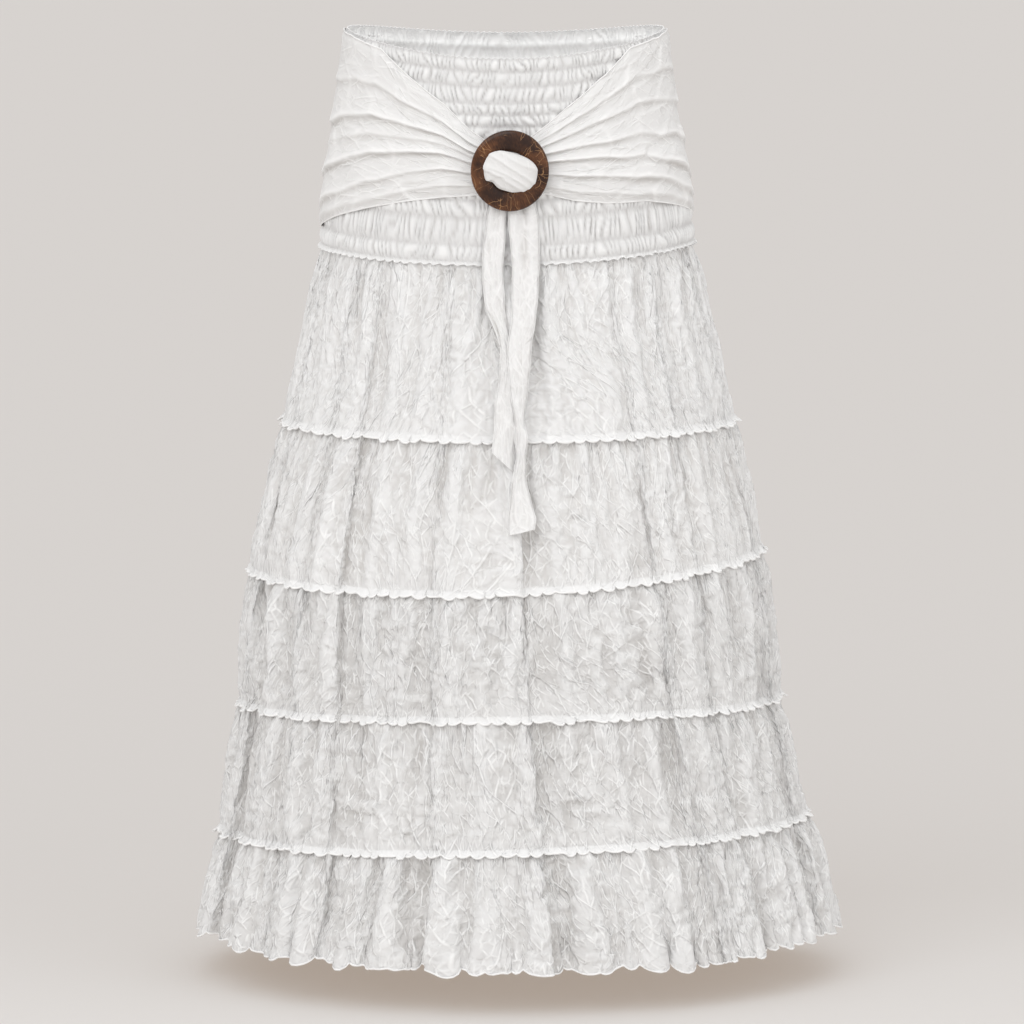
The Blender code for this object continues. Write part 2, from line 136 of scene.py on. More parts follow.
def crumpled(u: Size, v: Size, around: int, seed: int, crisp: float = 30.0) -> Facets:
    """Flat facets that meet in creases, as crumpled cloth has.

    Each cell of a unit grid holds one scattered point with a plane of random slope and lift. The
    height is the mean of the nine nearest planes, each weighted by exp(-crisp * distance^2), so one
    plane rules round its own point. The crease is bell(second - first, 0.13), where first and
    second are the distances to the two nearest points, so it is 1 on the lines between facets.

    Args:
        u: positions round the piece, in cells.
        v: positions along it, in cells.
        around: the cells after which the pattern repeats in u.
        seed: picks the points and the planes.
        crisp: how sharply one facet turns into the next.

    Returns:
        The facets' height and crease at each point.
    """
    u, v = np.broadcast_arrays(np.asarray(u, float), np.asarray(v, float))
    rng = np.random.default_rng(seed)
    low = int(np.floor(v.min())) - 1
    shape = (int(np.floor(v.max())) - low + 3, around)
    spot_u, spot_v = rng.uniform(0.1, 0.9, shape), rng.uniform(0.1, 0.9, shape)
    slope_u, slope_v, lift = (rng.normal(0.0, s, shape) for s in (1.5, 0.55, 0.2))
    cell_u, cell_v = np.floor(u).astype(int), np.floor(v).astype(int)
    total, weight = np.zeros(u.shape), np.full(u.shape, 1e-9)
    first, second = np.full(u.shape, 9.0), np.full(u.shape, 9.0)
    for du in (-1, 0, 1):
        for dv in (-1, 0, 1):
            cell = (cell_v + dv - low, (cell_u + du) % around)
            away_u, away_v = u - cell_u - du - spot_u[cell], v - cell_v - dv - spot_v[cell]
            square = away_u**2 + away_v**2
            share = np.exp(-crisp * square)
            total += share * (slope_u[cell] * away_u + slope_v[cell] * away_v + lift[cell])
            weight += share
            distance = np.sqrt(square)
            second = np.minimum(second, np.maximum(first, distance))
            first = np.minimum(first, distance)
    return Facets(total / weight, bell(second - first, 0.13))


# ------------------------------------------------------------------------------------- meshes


def unit(vectors: Array) -> Array:
    """The vectors, each divided by its own length."""
    return vectors / np.maximum(np.linalg.norm(vectors, axis=-1, keepdims=True), 1e-9)


def grid_normals(points: Array, closed: bool) -> Array:
    """Outward normals of a grid of points: (next column - last column) x (row above - row below).

    Args:
        points: rows x columns x 3 points.
        closed: whether the last column joins the first.

    Returns:
        A unit normal for every point.
    """
    ahead, behind = np.roll(points, -1, axis=1), np.roll(points, 1, axis=1)
    along = ahead - behind if closed else np.gradient(points, axis=1)
    return unit(np.cross(along, -np.gradient(points, axis=0)))


def with_rolled_edge(points: Array, radius: float, closed: bool, at_top: bool = False) -> Array:
    """The grid with a narrow rolled edge below its last row, or above its first.

    The roll's rows are edge + radius * (a * down + b * outward) for each step (a, b) of ROLL,
    where down runs on along the sheet and outward is its normal.

    Args:
        points: rows x columns x 3 points.
        radius: the roll's radius.
        closed: whether the last column joins the first.
        at_top: whether the roll goes on the first row instead.

    Returns:
        The grid with the roll's rows added.
    """
    grid = points[::-1] if at_top else points
    normal = grid_normals(points, closed)[0 if at_top else -1]
    down = unit(grid[-1] - grid[-3])
    roll = [grid[-1] + radius * (a * down + b * normal) for a, b in ROLL]
    grid = np.concatenate([grid, np.stack(roll)])
    return grid[::-1] if at_top else grid


def sheet_area(points: Array, closed: bool) -> float:
    """The area of a grid's quads, each as half its diagonals' cross product.

    Args:
        points: rows x columns x 3 points, in millimetres.
        closed: whether the last column joins the first.

    Returns:
        The area in square metres.
    """
    if closed:
        points = np.concatenate([points, points[:, :1]], axis=1)
    quads = np.cross(points[1:, 1:] - points[:-1, :-1], points[1:, :-1] - points[:-1, 1:])
    return float(np.linalg.norm(quads, axis=-1).sum() / 2.0 * MM * MM)


def grid_faces(rows: int, columns: int, closed: bool) -> Array:
    """Quads over a grid of points whose rows run down and whose columns run round.

    Args:
        rows: how many rows of points the grid has.
        columns: how many columns it has.
        closed: whether the last column joins the first.

    Returns:
        The corners of each quad, as rows of four point numbers, facing outwards.
    """
    across = np.arange(columns if closed else columns - 1)
    row, column = np.meshgrid(np.arange(rows - 1), across, indexing="ij")
    here, after = row * columns + column, row * columns + (column + 1) % columns
    return np.stack([here, here + columns, after + columns, after], axis=-1).reshape(-1, 4)


def make_piece(
    name: str,
    points: Array,
    faces: Array,
    uv: Array | None = None,
    masks: dict[str, Array] | None = None,
    caps: Array | None = None,
) -> bpy.types.Object:
    """A smooth-shaded piece at the origin, with its place in its mesh.

    Args:
        name: the piece's name.
        points: its points in millimetres, in any grid.
        faces: its faces, as rows of point numbers.
        uv: a position in metres for every corner of every face, the caps' last.
        masks: named values for every point, which its material may read.
        caps: larger faces that close its ends, as rows of point numbers.

    Returns:
        The new object, linked to the scene.
    """
    mesh = bpy.data.meshes.new(name)
    flat = np.ascontiguousarray(points.reshape(-1, 3), dtype=np.float32) * MM
    groups = [faces] if caps is None else [faces, caps]
    corners = np.concatenate([group.ravel() for group in groups]).astype(np.int32)
    sides = np.concatenate([np.full(len(group), group.shape[1]) for group in groups])
    mesh.vertices.add(len(flat))
    mesh.vertices.foreach_set("co", flat.ravel())
    mesh.loops.add(len(corners))
    mesh.loops.foreach_set("vertex_index", corners)
    mesh.polygons.add(len(sides))
    mesh.polygons.foreach_set("loop_start", (np.cumsum(sides) - sides).astype(np.int32))
    mesh.update(calc_edges=True)
    if uv is not None:
        layer = mesh.uv_layers.new(name="cut")
        layer.data.foreach_set("uv", uv.astype(np.float32).ravel())
    for label, values in (masks or {}).items():
        mask = mesh.attributes.new(label, "FLOAT", "POINT")
        mask.data.foreach_set("value", values.astype(np.float32).ravel())
    mesh.shade_smooth()
    mesh.validate()
    piece = bpy.data.objects.new(name, mesh)
    bpy.context.scene.collection.objects.link(piece)
    return piece


class Cut(NamedTuple):
    """A sheet's flat size in millimetres, and whether it is sewn round into a tube."""

    width: float
    length: float
    closed: bool


def cloth_piece(
    name: str,
    points: Array,
    cut: Cut,
    masks: dict[str, Array],
    shift: Size = 0.0,
    turned: bool = False,
) -> bpy.types.Object:
    """A sheet of cloth over a grid of points, with a UV map in metres.

    u is width * column / columns + the shift, and v is -length * row / rows. The last column of a
    closed sheet is given u = width on its far side, so the pattern meets itself there.

    Args:
        name: the piece's name.
        points: rows x columns x 3 points, in millimetres.
        cut: the sheet's flat size.
        masks: named values for every point.
        shift: how far u is moved at each point, in millimetres, so that its pattern leans.
        turned: whether u and v change places, so that its crinkles run along it.

    Returns:
        The new object.
    """
    rows, columns = points.shape[:2]
    faces = grid_faces(rows, columns, cut.closed)
    row, column = faces // columns, faces % columns
    column = np.where((column == 0) & (column[:, :1] == columns - 1), columns, column)
    across = columns if cut.closed else columns - 1
    moved = np.broadcast_to(shift, (rows, columns)).ravel()[faces]
    u, v = cut.width * column / across + moved, -cut.length * row / (rows - 1)
    uv = np.stack([u, v], axis=-1) * MM
    return make_piece(name, points, faces, uv[..., ::-1] if turned else uv, masks)


def dress(piece: bpy.types.Object, finish: bpy.types.Material, slot: str, *nodes: str) -> None:
    """Finish a piece, hide the frame's nodes that it replaces, and report it.

    Args:
        piece: the piece.
        finish: its material.
        slot: not used.
        nodes: the frame's nodes that it replaces.
    """
    piece.data.materials.append(finish)
    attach(piece, "root")
    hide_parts(*nodes)
    LOG.info("%s: %d points", piece.name, len(piece.data.vertices))


def declare_sheet(piece: bpy.types.Object, cut: Cut, area: float) -> None:
    """Report a piece's built area as a share of its cut."""
    LOG.info("%s: %.2f of its cut", piece.name, area / (cut.width * cut.length * MM * MM))


# ------------------------------------------------------------------------------ settling cloth


class Lie(NamedTuple):
    """Where a sheet's points lie: distances round it and down it, and the distance all round."""

    u: Array
    v: Array
    girth: float

    def cells(self, wide: float, least: int = 1) -> int:
        """How many cells of this width go round the sheet."""
        return max(round(self.girth / wide), least)

    def noise(self, cells: int, seed: int, v: Size = 0.0, shift: Size = 0.0) -> Array:
        """Smooth noise with so many cells round the sheet, read at v down it."""
        return soft_noise(self.u * cells / self.girth + shift, v, cells, seed)


class Springs(NamedTuple):
    """Springs between points so many rows and columns apart, with their rest lengths and pull."""

    rows: int
    columns: int
    rest: Array
    pull: float


SPRING_KINDS = (
    (0, 1, 1.0), (1, 0, 1.0), (1, 1, 0.5), (1, -1, 0.5), (0, 2, 0.0), (2, 0, 0.0), (0, 3, 0.0),
)


def finer(grid: Array) -> Array:
    """The grid with a new row and column half way between each two, by the cubic (9, 9, -1, -1)/16.

    Args:
        grid: rows x columns x 3 offsets, whose last column joins the first.

    Returns:
        A grid of 2 rows - 1 rows and twice the columns.
    """
    for wraps in (False, True):
        before = grid[-1:] if wraps else 2 * grid[:1] - grid[1:2]
        after = grid[:2] if wraps else 2 * grid[-1:] - grid[-2:-1]
        padded = np.concatenate([before, grid, after])
        half = (9.0 * (padded[1:-2] + padded[2:-1]) - padded[:-3] - padded[3:]) / 16.0
        out = np.empty((len(grid) + len(half), *grid.shape[1:]))
        out[0::2], out[1::2] = grid, half
        grid = np.swapaxes(out, 0, 1)
    return grid


def springs_of(base: Array, grow_u: Array, grow_v: Array) -> list[Springs]:
    """The springs of a sheet that is larger than the surface it lies on.

    Each spring's rest length is its length on the base times 1 + the growth along it, which for a
    slanting spring is the mean of both growths. Neighbours pull and push fully, diagonals half as
    much, and springs two and three apart only push back where the sheet folds sharply.

    Args:
        base: rows x columns x 3 points of the surface it lies on.
        grow_u: the growth round the piece at each point.
        grow_v: the growth down it.

    Returns:
        The springs.
    """
    found = []
    for rows, columns, pull in SPRING_KINDS:
        here = base[: len(base) - rows]
        length = np.linalg.norm(np.roll(base, -columns, axis=1)[rows:] - here, axis=-1)
        share = float(rows == 0) if rows * columns == 0 else 0.5
        grow = share * grow_u[: len(here)] + (1.0 - share) * grow_v[: len(here)]
        found.append(Springs(rows, columns, (length * (1.0 + grow))[..., None], pull))
    return found


@dataclass(frozen=True)
class Gathering:
    """How much larger than its place a sheet is cut, and how it settles, grid by grid.

    Each tuple has one value for the coarse grid, one for the middle and one for the fine one.
    """

    around: tuple[float, ...]
    down: tuple[float, ...]
    band: float
    rounds: tuple[int, ...] = (100, 70, 40)
    drift: float = 5.0
    uneven: float = 0.10
    ripple: float = 0.8
    bend: float = 0.78
    push: float = 0.175
    momentum: float = 0.9
    eagerness: float = 2.8
    edge_share: float = 0.4
    edge_wide: float = 16.0
    edge_band: float = 0.5

    def settle(
        self, base: Array, start: Array, springs: list[Springs], band: Array, rounds: int
    ) -> Array:
        """Let a sheet that is too large for its place fold itself into it.

        In each round every point moves by the mean of what its springs ask of it, times the
        eagerness, plus the momentum times its last move. Its offset from the base is then kept
        within the band along the normal and within the drift across it. The first and last rows
        stay. Springs with no pull act only where they are shorter than bend * rest.

        Args:
            base: rows x columns x 3 points of the surface that the sheet lies on.
            start: the sheet's first offsets from it.
            springs: the sheet's springs.
            band: how far each point may stand off the base, either way.
            rounds: how many rounds are made.

        Returns:
            The sheet's offsets from the base.
        """
        normal = grid_normals(base, True)
        points, last = base + start, base + start
        for _ in range(rounds):
            moved, count = np.zeros_like(points), np.full((*points.shape[:2], 1), 1e-9)
            for rows, columns, rest, pull in springs:
                here = slice(0, len(points) - rows)
                apart = np.roll(points, -columns, axis=1)[rows:] - points[here]
                length = np.sqrt(np.einsum("ijk,ijk->ij", apart, apart))[..., None] + 1e-9
                if pull:
                    weight, ask = pull, pull * 0.5 * (length - rest) / length
                else:
                    short = np.minimum(length - self.bend * rest, 0.0)
                    weight, ask = 0.15, self.push * short / length
                ask = apart * ask
                moved[here] += ask
                moved[rows:] -= np.roll(ask, columns, axis=1)
                count[here] += weight
                count[rows:] += weight
            new = points + self.momentum * (points - last) + self.eagerness * moved / count
            away = new - base
            off = np.einsum("ijk,ijk->ij", away, normal)[..., None]
            across = away - off * normal
            slid = np.maximum(np.linalg.norm(across, axis=-1, keepdims=True), 1e-9)
            across *= np.minimum(1.0, self.drift / slid)
            away = np.clip(off, -band, band) * normal + across
            away[0] = away[-1] = 0.0
            last, points = points, base + away
        return points - base

    def fold(self, base: Array, lie: Lie, seed: int) -> Array:
        """Let a sheet settle on a grid of every fourth point, then every second, then all.

        The growth is uneven by a slow noise. It and the band shrink towards the sheet's upper and
        lower edges, which stay where they are. Each finer grid starts from the last one's offsets
        and a fine ripple of noise.

        Args:
            base: rows x columns x 3 points; rows - 1 and columns divide by four.
            lie: where the points lie.
            seed: picks the noise.

        Returns:
            The sheet's offsets from the base.
        """
        slow, offset = lie.cells(62.0, 3), None
        for level, every in enumerate((4, 2, 1)):
            grid = base[::every, ::every]
            part = Lie(lie.u[::every, ::every], lie.v[::every, ::every], lie.girth)
            free = ease(np.minimum(part.v, lie.v[-1:, ::every] - part.v), 0.0, self.edge_wide)
            scale = self.edge_share + (1.0 - self.edge_share) * free
            around = self.around[level] + self.uneven * part.noise(slow, seed, part.v / 55.0)
            down = self.down[level] + 0.8 * self.uneven * part.noise(slow, seed + 1, part.v / 45.0)
            normal = grid_normals(grid, True)
            if offset is None:
                slant = 1.7 * part.noise(slow, seed + 2, part.v / 50.0)
                first = 2.0 * part.noise(part.cells(13.0, 4), seed + 3, part.v / 42.0, slant)
                first += 1.1 * part.noise(part.cells(8.0, 4), seed + 4, part.v / 19.0, slant)
                offset = first[..., None] * normal * free[..., None]
            else:
                cells = part.cells(8.5 / level, 4)
                ripple = part.noise(cells, seed + 5 + level, part.v / (10.0 / level))
                offset = finer(offset) + (self.ripple * free * ripple)[..., None] * normal
            band = self.edge_band + (self.band - self.edge_band) * free
            springs = springs_of(grid, around * scale, down * scale)
            offset = self.settle(grid, offset, springs, band[..., None], self.rounds[level])
        return offset


# --------------------------------------------------------------------------------- shader nodes


@dataclass
class NodeBoard:
    """A node tree with short ways to add, set and join its nodes."""

    tree: bpy.types.NodeTree

    def put(self, socket: bpy.types.NodeSocket, value: object) -> None:
        """Join an output to the socket, or set the socket's value; a colour is made opaque."""
        if isinstance(value, bpy.types.NodeSocket):
            self.tree.links.new(value, socket)
        else:
            socket.default_value = (*value, 1.0) if socket.type == "RGBA" else value

    def fill(self, node: bpy.types.Node, **inputs: object) -> bpy.types.Node:
        """Put a value or an output into each named input of a node.

        Args:
            node: the node.
            inputs: each input's value; a space in its name is written as an underscore.

        Returns:
            The node.
        """
        for key, value in inputs.items():
            self.put(node.inputs[key.replace("_", " ")], value)
        return node

    def add(self, kind: str, settings: dict | None = None, **inputs: object) -> bpy.types.Node:
        """Add a node.

        Args:
            kind: the node's type, without its ShaderNode prefix.
            settings: the node's own properties.
            inputs: its inputs, as fill takes them.

        Returns:
            The new node.
        """
        node = self.tree.nodes.new("ShaderNode" + kind)
        for key, value in (settings or {}).items():
            setattr(node, key, value)
        return self.fill(node, **inputs)

    def group(self, tree: bpy.types.NodeTree, **inputs: object) -> bpy.types.Node:
        """Add a node group."""
        return self.add("Group", {"node_tree": tree}, **inputs)

    def noise(self, place: object, scale: object, detail: float = 1.0) -> bpy.types.Node:
        """Add a noise over the cloth's flat coordinates."""
        flat = {"noise_dimensions": "2D"}
        return self.add("TexNoise", flat, Vector=place, Scale=scale, Detail=detail)

    def calculate(self, kind: str, operation: str, *values: object) -> bpy.types.Node:
        """Add a node that calculates with numbers or vectors.

        Args:
            kind: Math or VectorMath.
            operation: its operation, such as MULTIPLY.
            values: its inputs, in order.

        Returns:
            The new node.
        """
        node = self.add(kind, {"operation": operation})
        for socket, value in zip(node.inputs, values):
            self.put(socket, value)
        return node

    def math(self, operation: str, *values: object) -> bpy.types.NodeSocket:
        """The result of a Math node with these inputs."""
        return self.calculate("Math", operation, *values).outputs[0]

    def vector(self, operation: str, *values: object) -> bpy.types.NodeSocket:
        """The result of a Vector Math node: a number for LENGTH and DOT_PRODUCT."""
        node = self.calculate("VectorMath", operation, *values)
        return node.outputs["Value" if operation in ("LENGTH", "DOT_PRODUCT") else "Vector"]

    def step(self, value: object, low: float, high: float) -> bpy.types.NodeSocket:
        """The value stretched so that low gives 0 and high gives 1, eased between them."""
        node = self.add("MapRange", {"interpolation_type": "SMOOTHSTEP"}, Value=value)
        return self.fill(node, From_Min=low, From_Max=high).outputs["Result"]

    def mix(self, factor: object, first: object, second: object) -> bpy.types.NodeSocket:
        """Two colours mixed by a factor.

        Args:
            factor: 0 for the first colour, 1 for the second.
            first: the first colour.
            second: the second colour.

        Returns:
            The mixed colour.
        """
        node = self.add("Mix", {"data_type": "RGBA"})
        for number, value in ((0, factor), (6, first), (7, second)):
            self.put(node.inputs[number], value)
        return node.outputs[2]

    def attribute(self, label: str) -> bpy.types.NodeSocket:
        """One of the piece's own masks."""
        return self.add("Attribute", {"attribute_name": label}).outputs["Fac"]


class Group(NamedTuple):
    """A shader node group that is being made: its board, its inputs and its output node."""

    board: NodeBoard
    inputs: dict[str, bpy.types.NodeSocket]
    target: bpy.types.Node


def new_group(name: str, numbers: dict[str, float], outputs: tuple[str, ...]) -> Group:
    """An empty shader node group that takes a position and some numbers.

    Args:
        name: the group's name.
        numbers: each numeric input's name and first value; the position comes before them.
        outputs: the outputs' names.

    Returns:
        The group, ready for its nodes.
    """
    tree = bpy.data.node_groups.new(name, "ShaderNodeTree")
    tree.interface.new_socket("Position", in_out="INPUT", socket_type="NodeSocketVector")
    for label, value in numbers.items():
        socket = tree.interface.new_socket(label, in_out="INPUT", socket_type="NodeSocketFloat")
        socket.default_value = value
    for label in outputs:
        tree.interface.new_socket(label, in_out="OUTPUT", socket_type="NodeSocketFloat")
    source = tree.nodes.new("NodeGroupInput")
    named = {label: source.outputs[label] for label in ("Position", *numbers)}
    return Group(NodeBoard(tree), named, tree.nodes.new("NodeGroupOutput"))


@cache
def thread_group() -> bpy.types.NodeTree:
    """The woven threads: uneven warp and weft, as two noises each drawn out along its thread.

    Returns:
        A group that takes a position in metres and gives the threads' height, 0 to 1.
    """
    board, given, target = new_group("woven_threads", {}, ("Height",))
    warp, weft = (
        board.noise(board.vector("MULTIPLY", given["Position"], scale), 1.0).outputs["Fac"]
        for scale in ((1500.0, 170.0, 1.0), (170.0, 1500.0, 1.0))
    )
    board.fill(target, Height=board.math("MAXIMUM", warp, weft))
    return board.tree


class Wrinkles(NamedTuple):
    """One size of wrinkles: how many a cell, how long and leaning, its share and its patches."""

    times: float
    flat: float
    lean: float
    share: float
    patches: float


@cache
def wrinkle_group() -> bpy.types.NodeTree:
    """One size of wrinkles: flat facets that tilt this way and that, with thin crests between them.

    The position is sheared and drawn out down the cloth, and its Voronoi cells are the facets. With
    F1 and F2 the distances to the two nearest cell points, P1 and P2 their places and L the length
    of P2 - P1 turned back to the cloth's own lines, the distance to the crest is
    (F2^2 - F1^2) / (2 L scale^2). Crests that run across the cloth are left faint. Each cell's
    random colour gives its facet's tilt, which fades out towards the crests.

    Returns:
        A group that takes a position in metres, the cells per metre, how flat and how leaning they
        are, and gives the facets' height, the crest's soft ridge and the crest itself, 0 to 1. The
        cloth's material paints the crest itself as a highlight.
    """
    board, given, target = new_group(
        "wrinkles_of_one_size",
        {"Scale": 85.0, "Flat": 0.4, "Lean": 0.0, "Patches": 30.0},
        ("Facet", "Ridge", "Crest"),
    )
    position, scale, flat, lean, patches = given.values()
    parts = board.add("SeparateXYZ", Vector=position)
    back = board.math("MULTIPLY", lean, -1.0)
    x = board.math("MULTIPLY_ADD", parts.outputs["Y"], back, parts.outputs["X"])
    y = board.math("MULTIPLY", parts.outputs["Y"], flat)
    place = board.add("CombineXYZ", X=x, Y=y).outputs[0]
    kinds = ({"voronoi_dimensions": "2D", "feature": nearest} for nearest in ("F1", "F2"))
    first, second = (board.add("TexVoronoi", kind, Vector=place, Scale=scale) for kind in kinds)
    between = board.vector("SUBTRACT", second.outputs["Position"], first.outputs["Position"])
    steps = board.add("SeparateXYZ", Vector=between)
    slanted = board.math("MULTIPLY", steps.outputs["X"], back)
    upright = board.math("MULTIPLY_ADD", steps.outputs["Y"], flat, slanted)
    turned = board.add("CombineXYZ", X=steps.outputs["X"], Y=upright).outputs[0]
    length = board.math("MAXIMUM", board.vector("LENGTH", turned), 1e-5)
    squares = [board.math("POWER", node.outputs["Distance"], 2.0) for node in (second, first)]
    apart = board.math("DIVIDE", board.math("SUBTRACT", *squares), board.math("POWER", scale, 2.0))
    distance = board.math("DIVIDE", apart, board.math("MULTIPLY", length, 2.0))
    steep = board.math("ABSOLUTE", board.math("DIVIDE", steps.outputs["X"], length))
    patch = board.step(board.noise(position, patches).outputs["Fac"], 0.40, 0.60)
    strong = board.math("MULTIPLY", patch, board.step(steep, 0.1, 0.8))
    for label, low, high in (("Ridge", 0.0, 0.0020), ("Crest", 0.0002, 0.0011)):
        line = board.math("SUBTRACT", 1.0, board.step(distance, low, high))
        board.put(target.inputs[label], board.math("MULTIPLY", line, strong))
    away = board.vector("SUBTRACT", place, first.outputs["Position"])
    tilt = board.vector("SUBTRACT", first.outputs["Color"], (0.5, 0.5, 0.5))
    lifted = board.math("MULTIPLY", board.vector("DOT_PRODUCT", away, tilt), scale)
    inside = board.step(board.math("MULTIPLY", distance, scale), 0.0, 0.34)
    board.fill(target, Facet=board.math("MULTIPLY", lifted, inside))
    return board.tree


@cache
def crinkle_group() -> bpy.types.NodeTree:
    """Fine crinkles: three sizes of wrinkles, each leaning its own way, on slightly bent lines.

    Returns:
        A group that takes a position in metres, the middle facets per metre, the crests' share and
        the facets' share, and gives a height and a tone, both about 0 to 1. The tone marks the
        crests, which the cloth's material paints as highlights.
    """
    board, given, target = new_group(
        "fine_crinkles", {"Per metre": 85.0, "Crests": 0.5, "Facets": 0.5}, ("Height", "Tone")
    )
    place, per_metre, crest_share, facet_share = given.values()
    for scale, reach in ((11.0, 0.016), (90.0, 0.0016)):
        bend = board.noise(place, scale, 0.0).outputs["Color"]
        place = board.vector("MULTIPLY_ADD", bend, (reach, reach, 0.0), place)
    heights, crests = [], []
    for size in (
        Wrinkles(0.48, 0.36, 0.30, 1.2, 27.0),
        Wrinkles(1.0, 0.42, -0.38, 1.0, 55.0),
        Wrinkles(1.9, 0.55, 0.20, 0.6, 90.0),
    ):
        scale = board.math("MULTIPLY", per_metre, size.times)
        one = board.group(
            wrinkle_group(), Position=place, Scale=scale, Flat=size.flat, Lean=size.lean,
            Patches=size.patches,
        )
        facet = board.math("MULTIPLY", one.outputs["Facet"], facet_share)
        height = board.math("MULTIPLY_ADD", one.outputs["Ridge"], crest_share, facet)
        heights.append(board.math("MULTIPLY", height, size.share))
        # The crest lines, which the material paints as highlights, are fainter for the weaker
        # sizes.
        fainter = min(0.2 + 0.8 * size.share, 1.0)
        crests.append(board.math("MULTIPLY", one.outputs["Crest"], fainter))
    for label, operation, parts in (("Height", "ADD", heights), ("Tone", "MAXIMUM", crests)):
        joined = board.math(operation, parts[0], board.math(operation, *parts[1:]))
        board.put(target.inputs[label], joined)
    return board.tree


def new_material(name: str) -> tuple[bpy.types.Material, NodeBoard, bpy.types.Node]:
    """A new material with its nodes.

    Args:
        name: the material's name.

    Returns:
        The material, a board for its nodes, and its shader.
    """
    made = bpy.data.materials.new(name)
    made.use_nodes = True
    return made, NodeBoard(made.node_tree), made.node_tree.nodes["Principled BSDF"]


@dataclass(frozen=True)
class ClothFinish:
    """White cotton: its colour, its painted shade and highlight colours, how it is crinkled and how
    rough it is.
    """

    name: str
    colour: Colour
    # Painted highlight colour, for the lit crests and edges.
    highlight_colour: Colour
    # Painted shade colour, for hollows, creases and valleys.
    shade_colour: Colour
    crinkles_per_metre: float
    crest_share: float
    facet_share: float
    crinkle_depth: float
    # How strongly the crinkles' crests are painted as highlights.
    highlight_tone: float = 0.9
    thread_depth: float = 0.05
    roughness: float = 0.88
    sheen: float = 0.12
    pleats_per_metre: float = 110.0
    pleat_flat: float = 0.07
    pleat_patches: float = 40.0
    pleat_lift: float = 2.4
    # A painted glow of the inner side on the crest mask, standing in for light that comes through.
    through: float = 0.0

    @cache
    def make(self) -> bpy.types.Material:
        """The cloth's material, made once.

        Its colour goes from the plain one to a painted shade colour where the piece's own "shade"
        mask says, and to a painted highlight colour on the piece's own "crest" mask and on the
        crinkles' crests. Long narrow pleats join the crinkles where its "pleat" mask says, and
        their crests are painted as highlights too. Two bumps carry the crinkles, which are flatter
        on the crest mask, and the threads. A painted glow of its inner side on the crest mask
        stands in for the light that comes through thin cloth.

        Returns:
            The material.
        """
        made, board, shader = new_material(self.name)
        place = board.add("UVMap", {"uv_map": "cut"}).outputs["UV"]
        shade, crest, pleated = (board.attribute(label) for label in ("shade", "crest", "pleat"))
        crinkle = board.group(
            crinkle_group(), Position=place, Per_metre=self.crinkles_per_metre,
            Crests=self.crest_share, Facets=self.facet_share,
        )
        threads = board.group(thread_group(), Position=place)
        pleat = board.group(
            wrinkle_group(), Position=place, Scale=self.pleats_per_metre, Flat=self.pleat_flat,
            Patches=self.pleat_patches,
        )
        # Painted highlight: the crest mask and the crests of the crinkles and pleats. Painted
        # shade: the shade mask.
        fine_highlight = board.math("MULTIPLY", crinkle.outputs["Tone"], self.highlight_tone)
        pleat_highlight = board.math("MULTIPLY", pleat.outputs["Crest"], pleated)
        pale = board.math("MAXIMUM", crest, board.math("MAXIMUM", fine_highlight, pleat_highlight))
        colour = board.mix(pale, board.mix(shade, self.colour, self.shade_colour), self.highlight_colour)
        facet, ridge = (pleat.outputs[label] for label in ("Facet", "Ridge"))
        crease = board.math("MULTIPLY_ADD", facet, self.pleat_lift, ridge)
        height = board.math("MULTIPLY_ADD", crease, pleated, crinkle.outputs["Height"])
        height = board.math("MULTIPLY", height, board.math("SUBTRACT", 1.0, crest))
        fine = board.add(
            "Bump", Height=threads.outputs["Height"], Strength=0.5, Distance=self.thread_depth * MM
        )
        bump = board.add(
            "Bump", Height=height, Strength=1.0, Distance=self.crinkle_depth * MM,
            Normal=fine.outputs["Normal"],
        )
        # Painted glow of the inner side where the crest mask is.
        if self.through:
            lit = board.math("MULTIPLY", board.add("NewGeometry").outputs["Backfacing"], crest)
            glow = board.mix(lit, (0.0, 0.0, 0.0), (self.through,) * 3)
            board.fill(shader, Emission_Color=glow, Emission_Strength=1.0)
        board.fill(
            shader, Base_Color=colour, Normal=bump.outputs["Normal"], Roughness=self.roughness,
            Sheen_Weight=self.sheen, Sheen_Roughness=0.5, Specular_IOR_Level=0.25,
        )
        return made


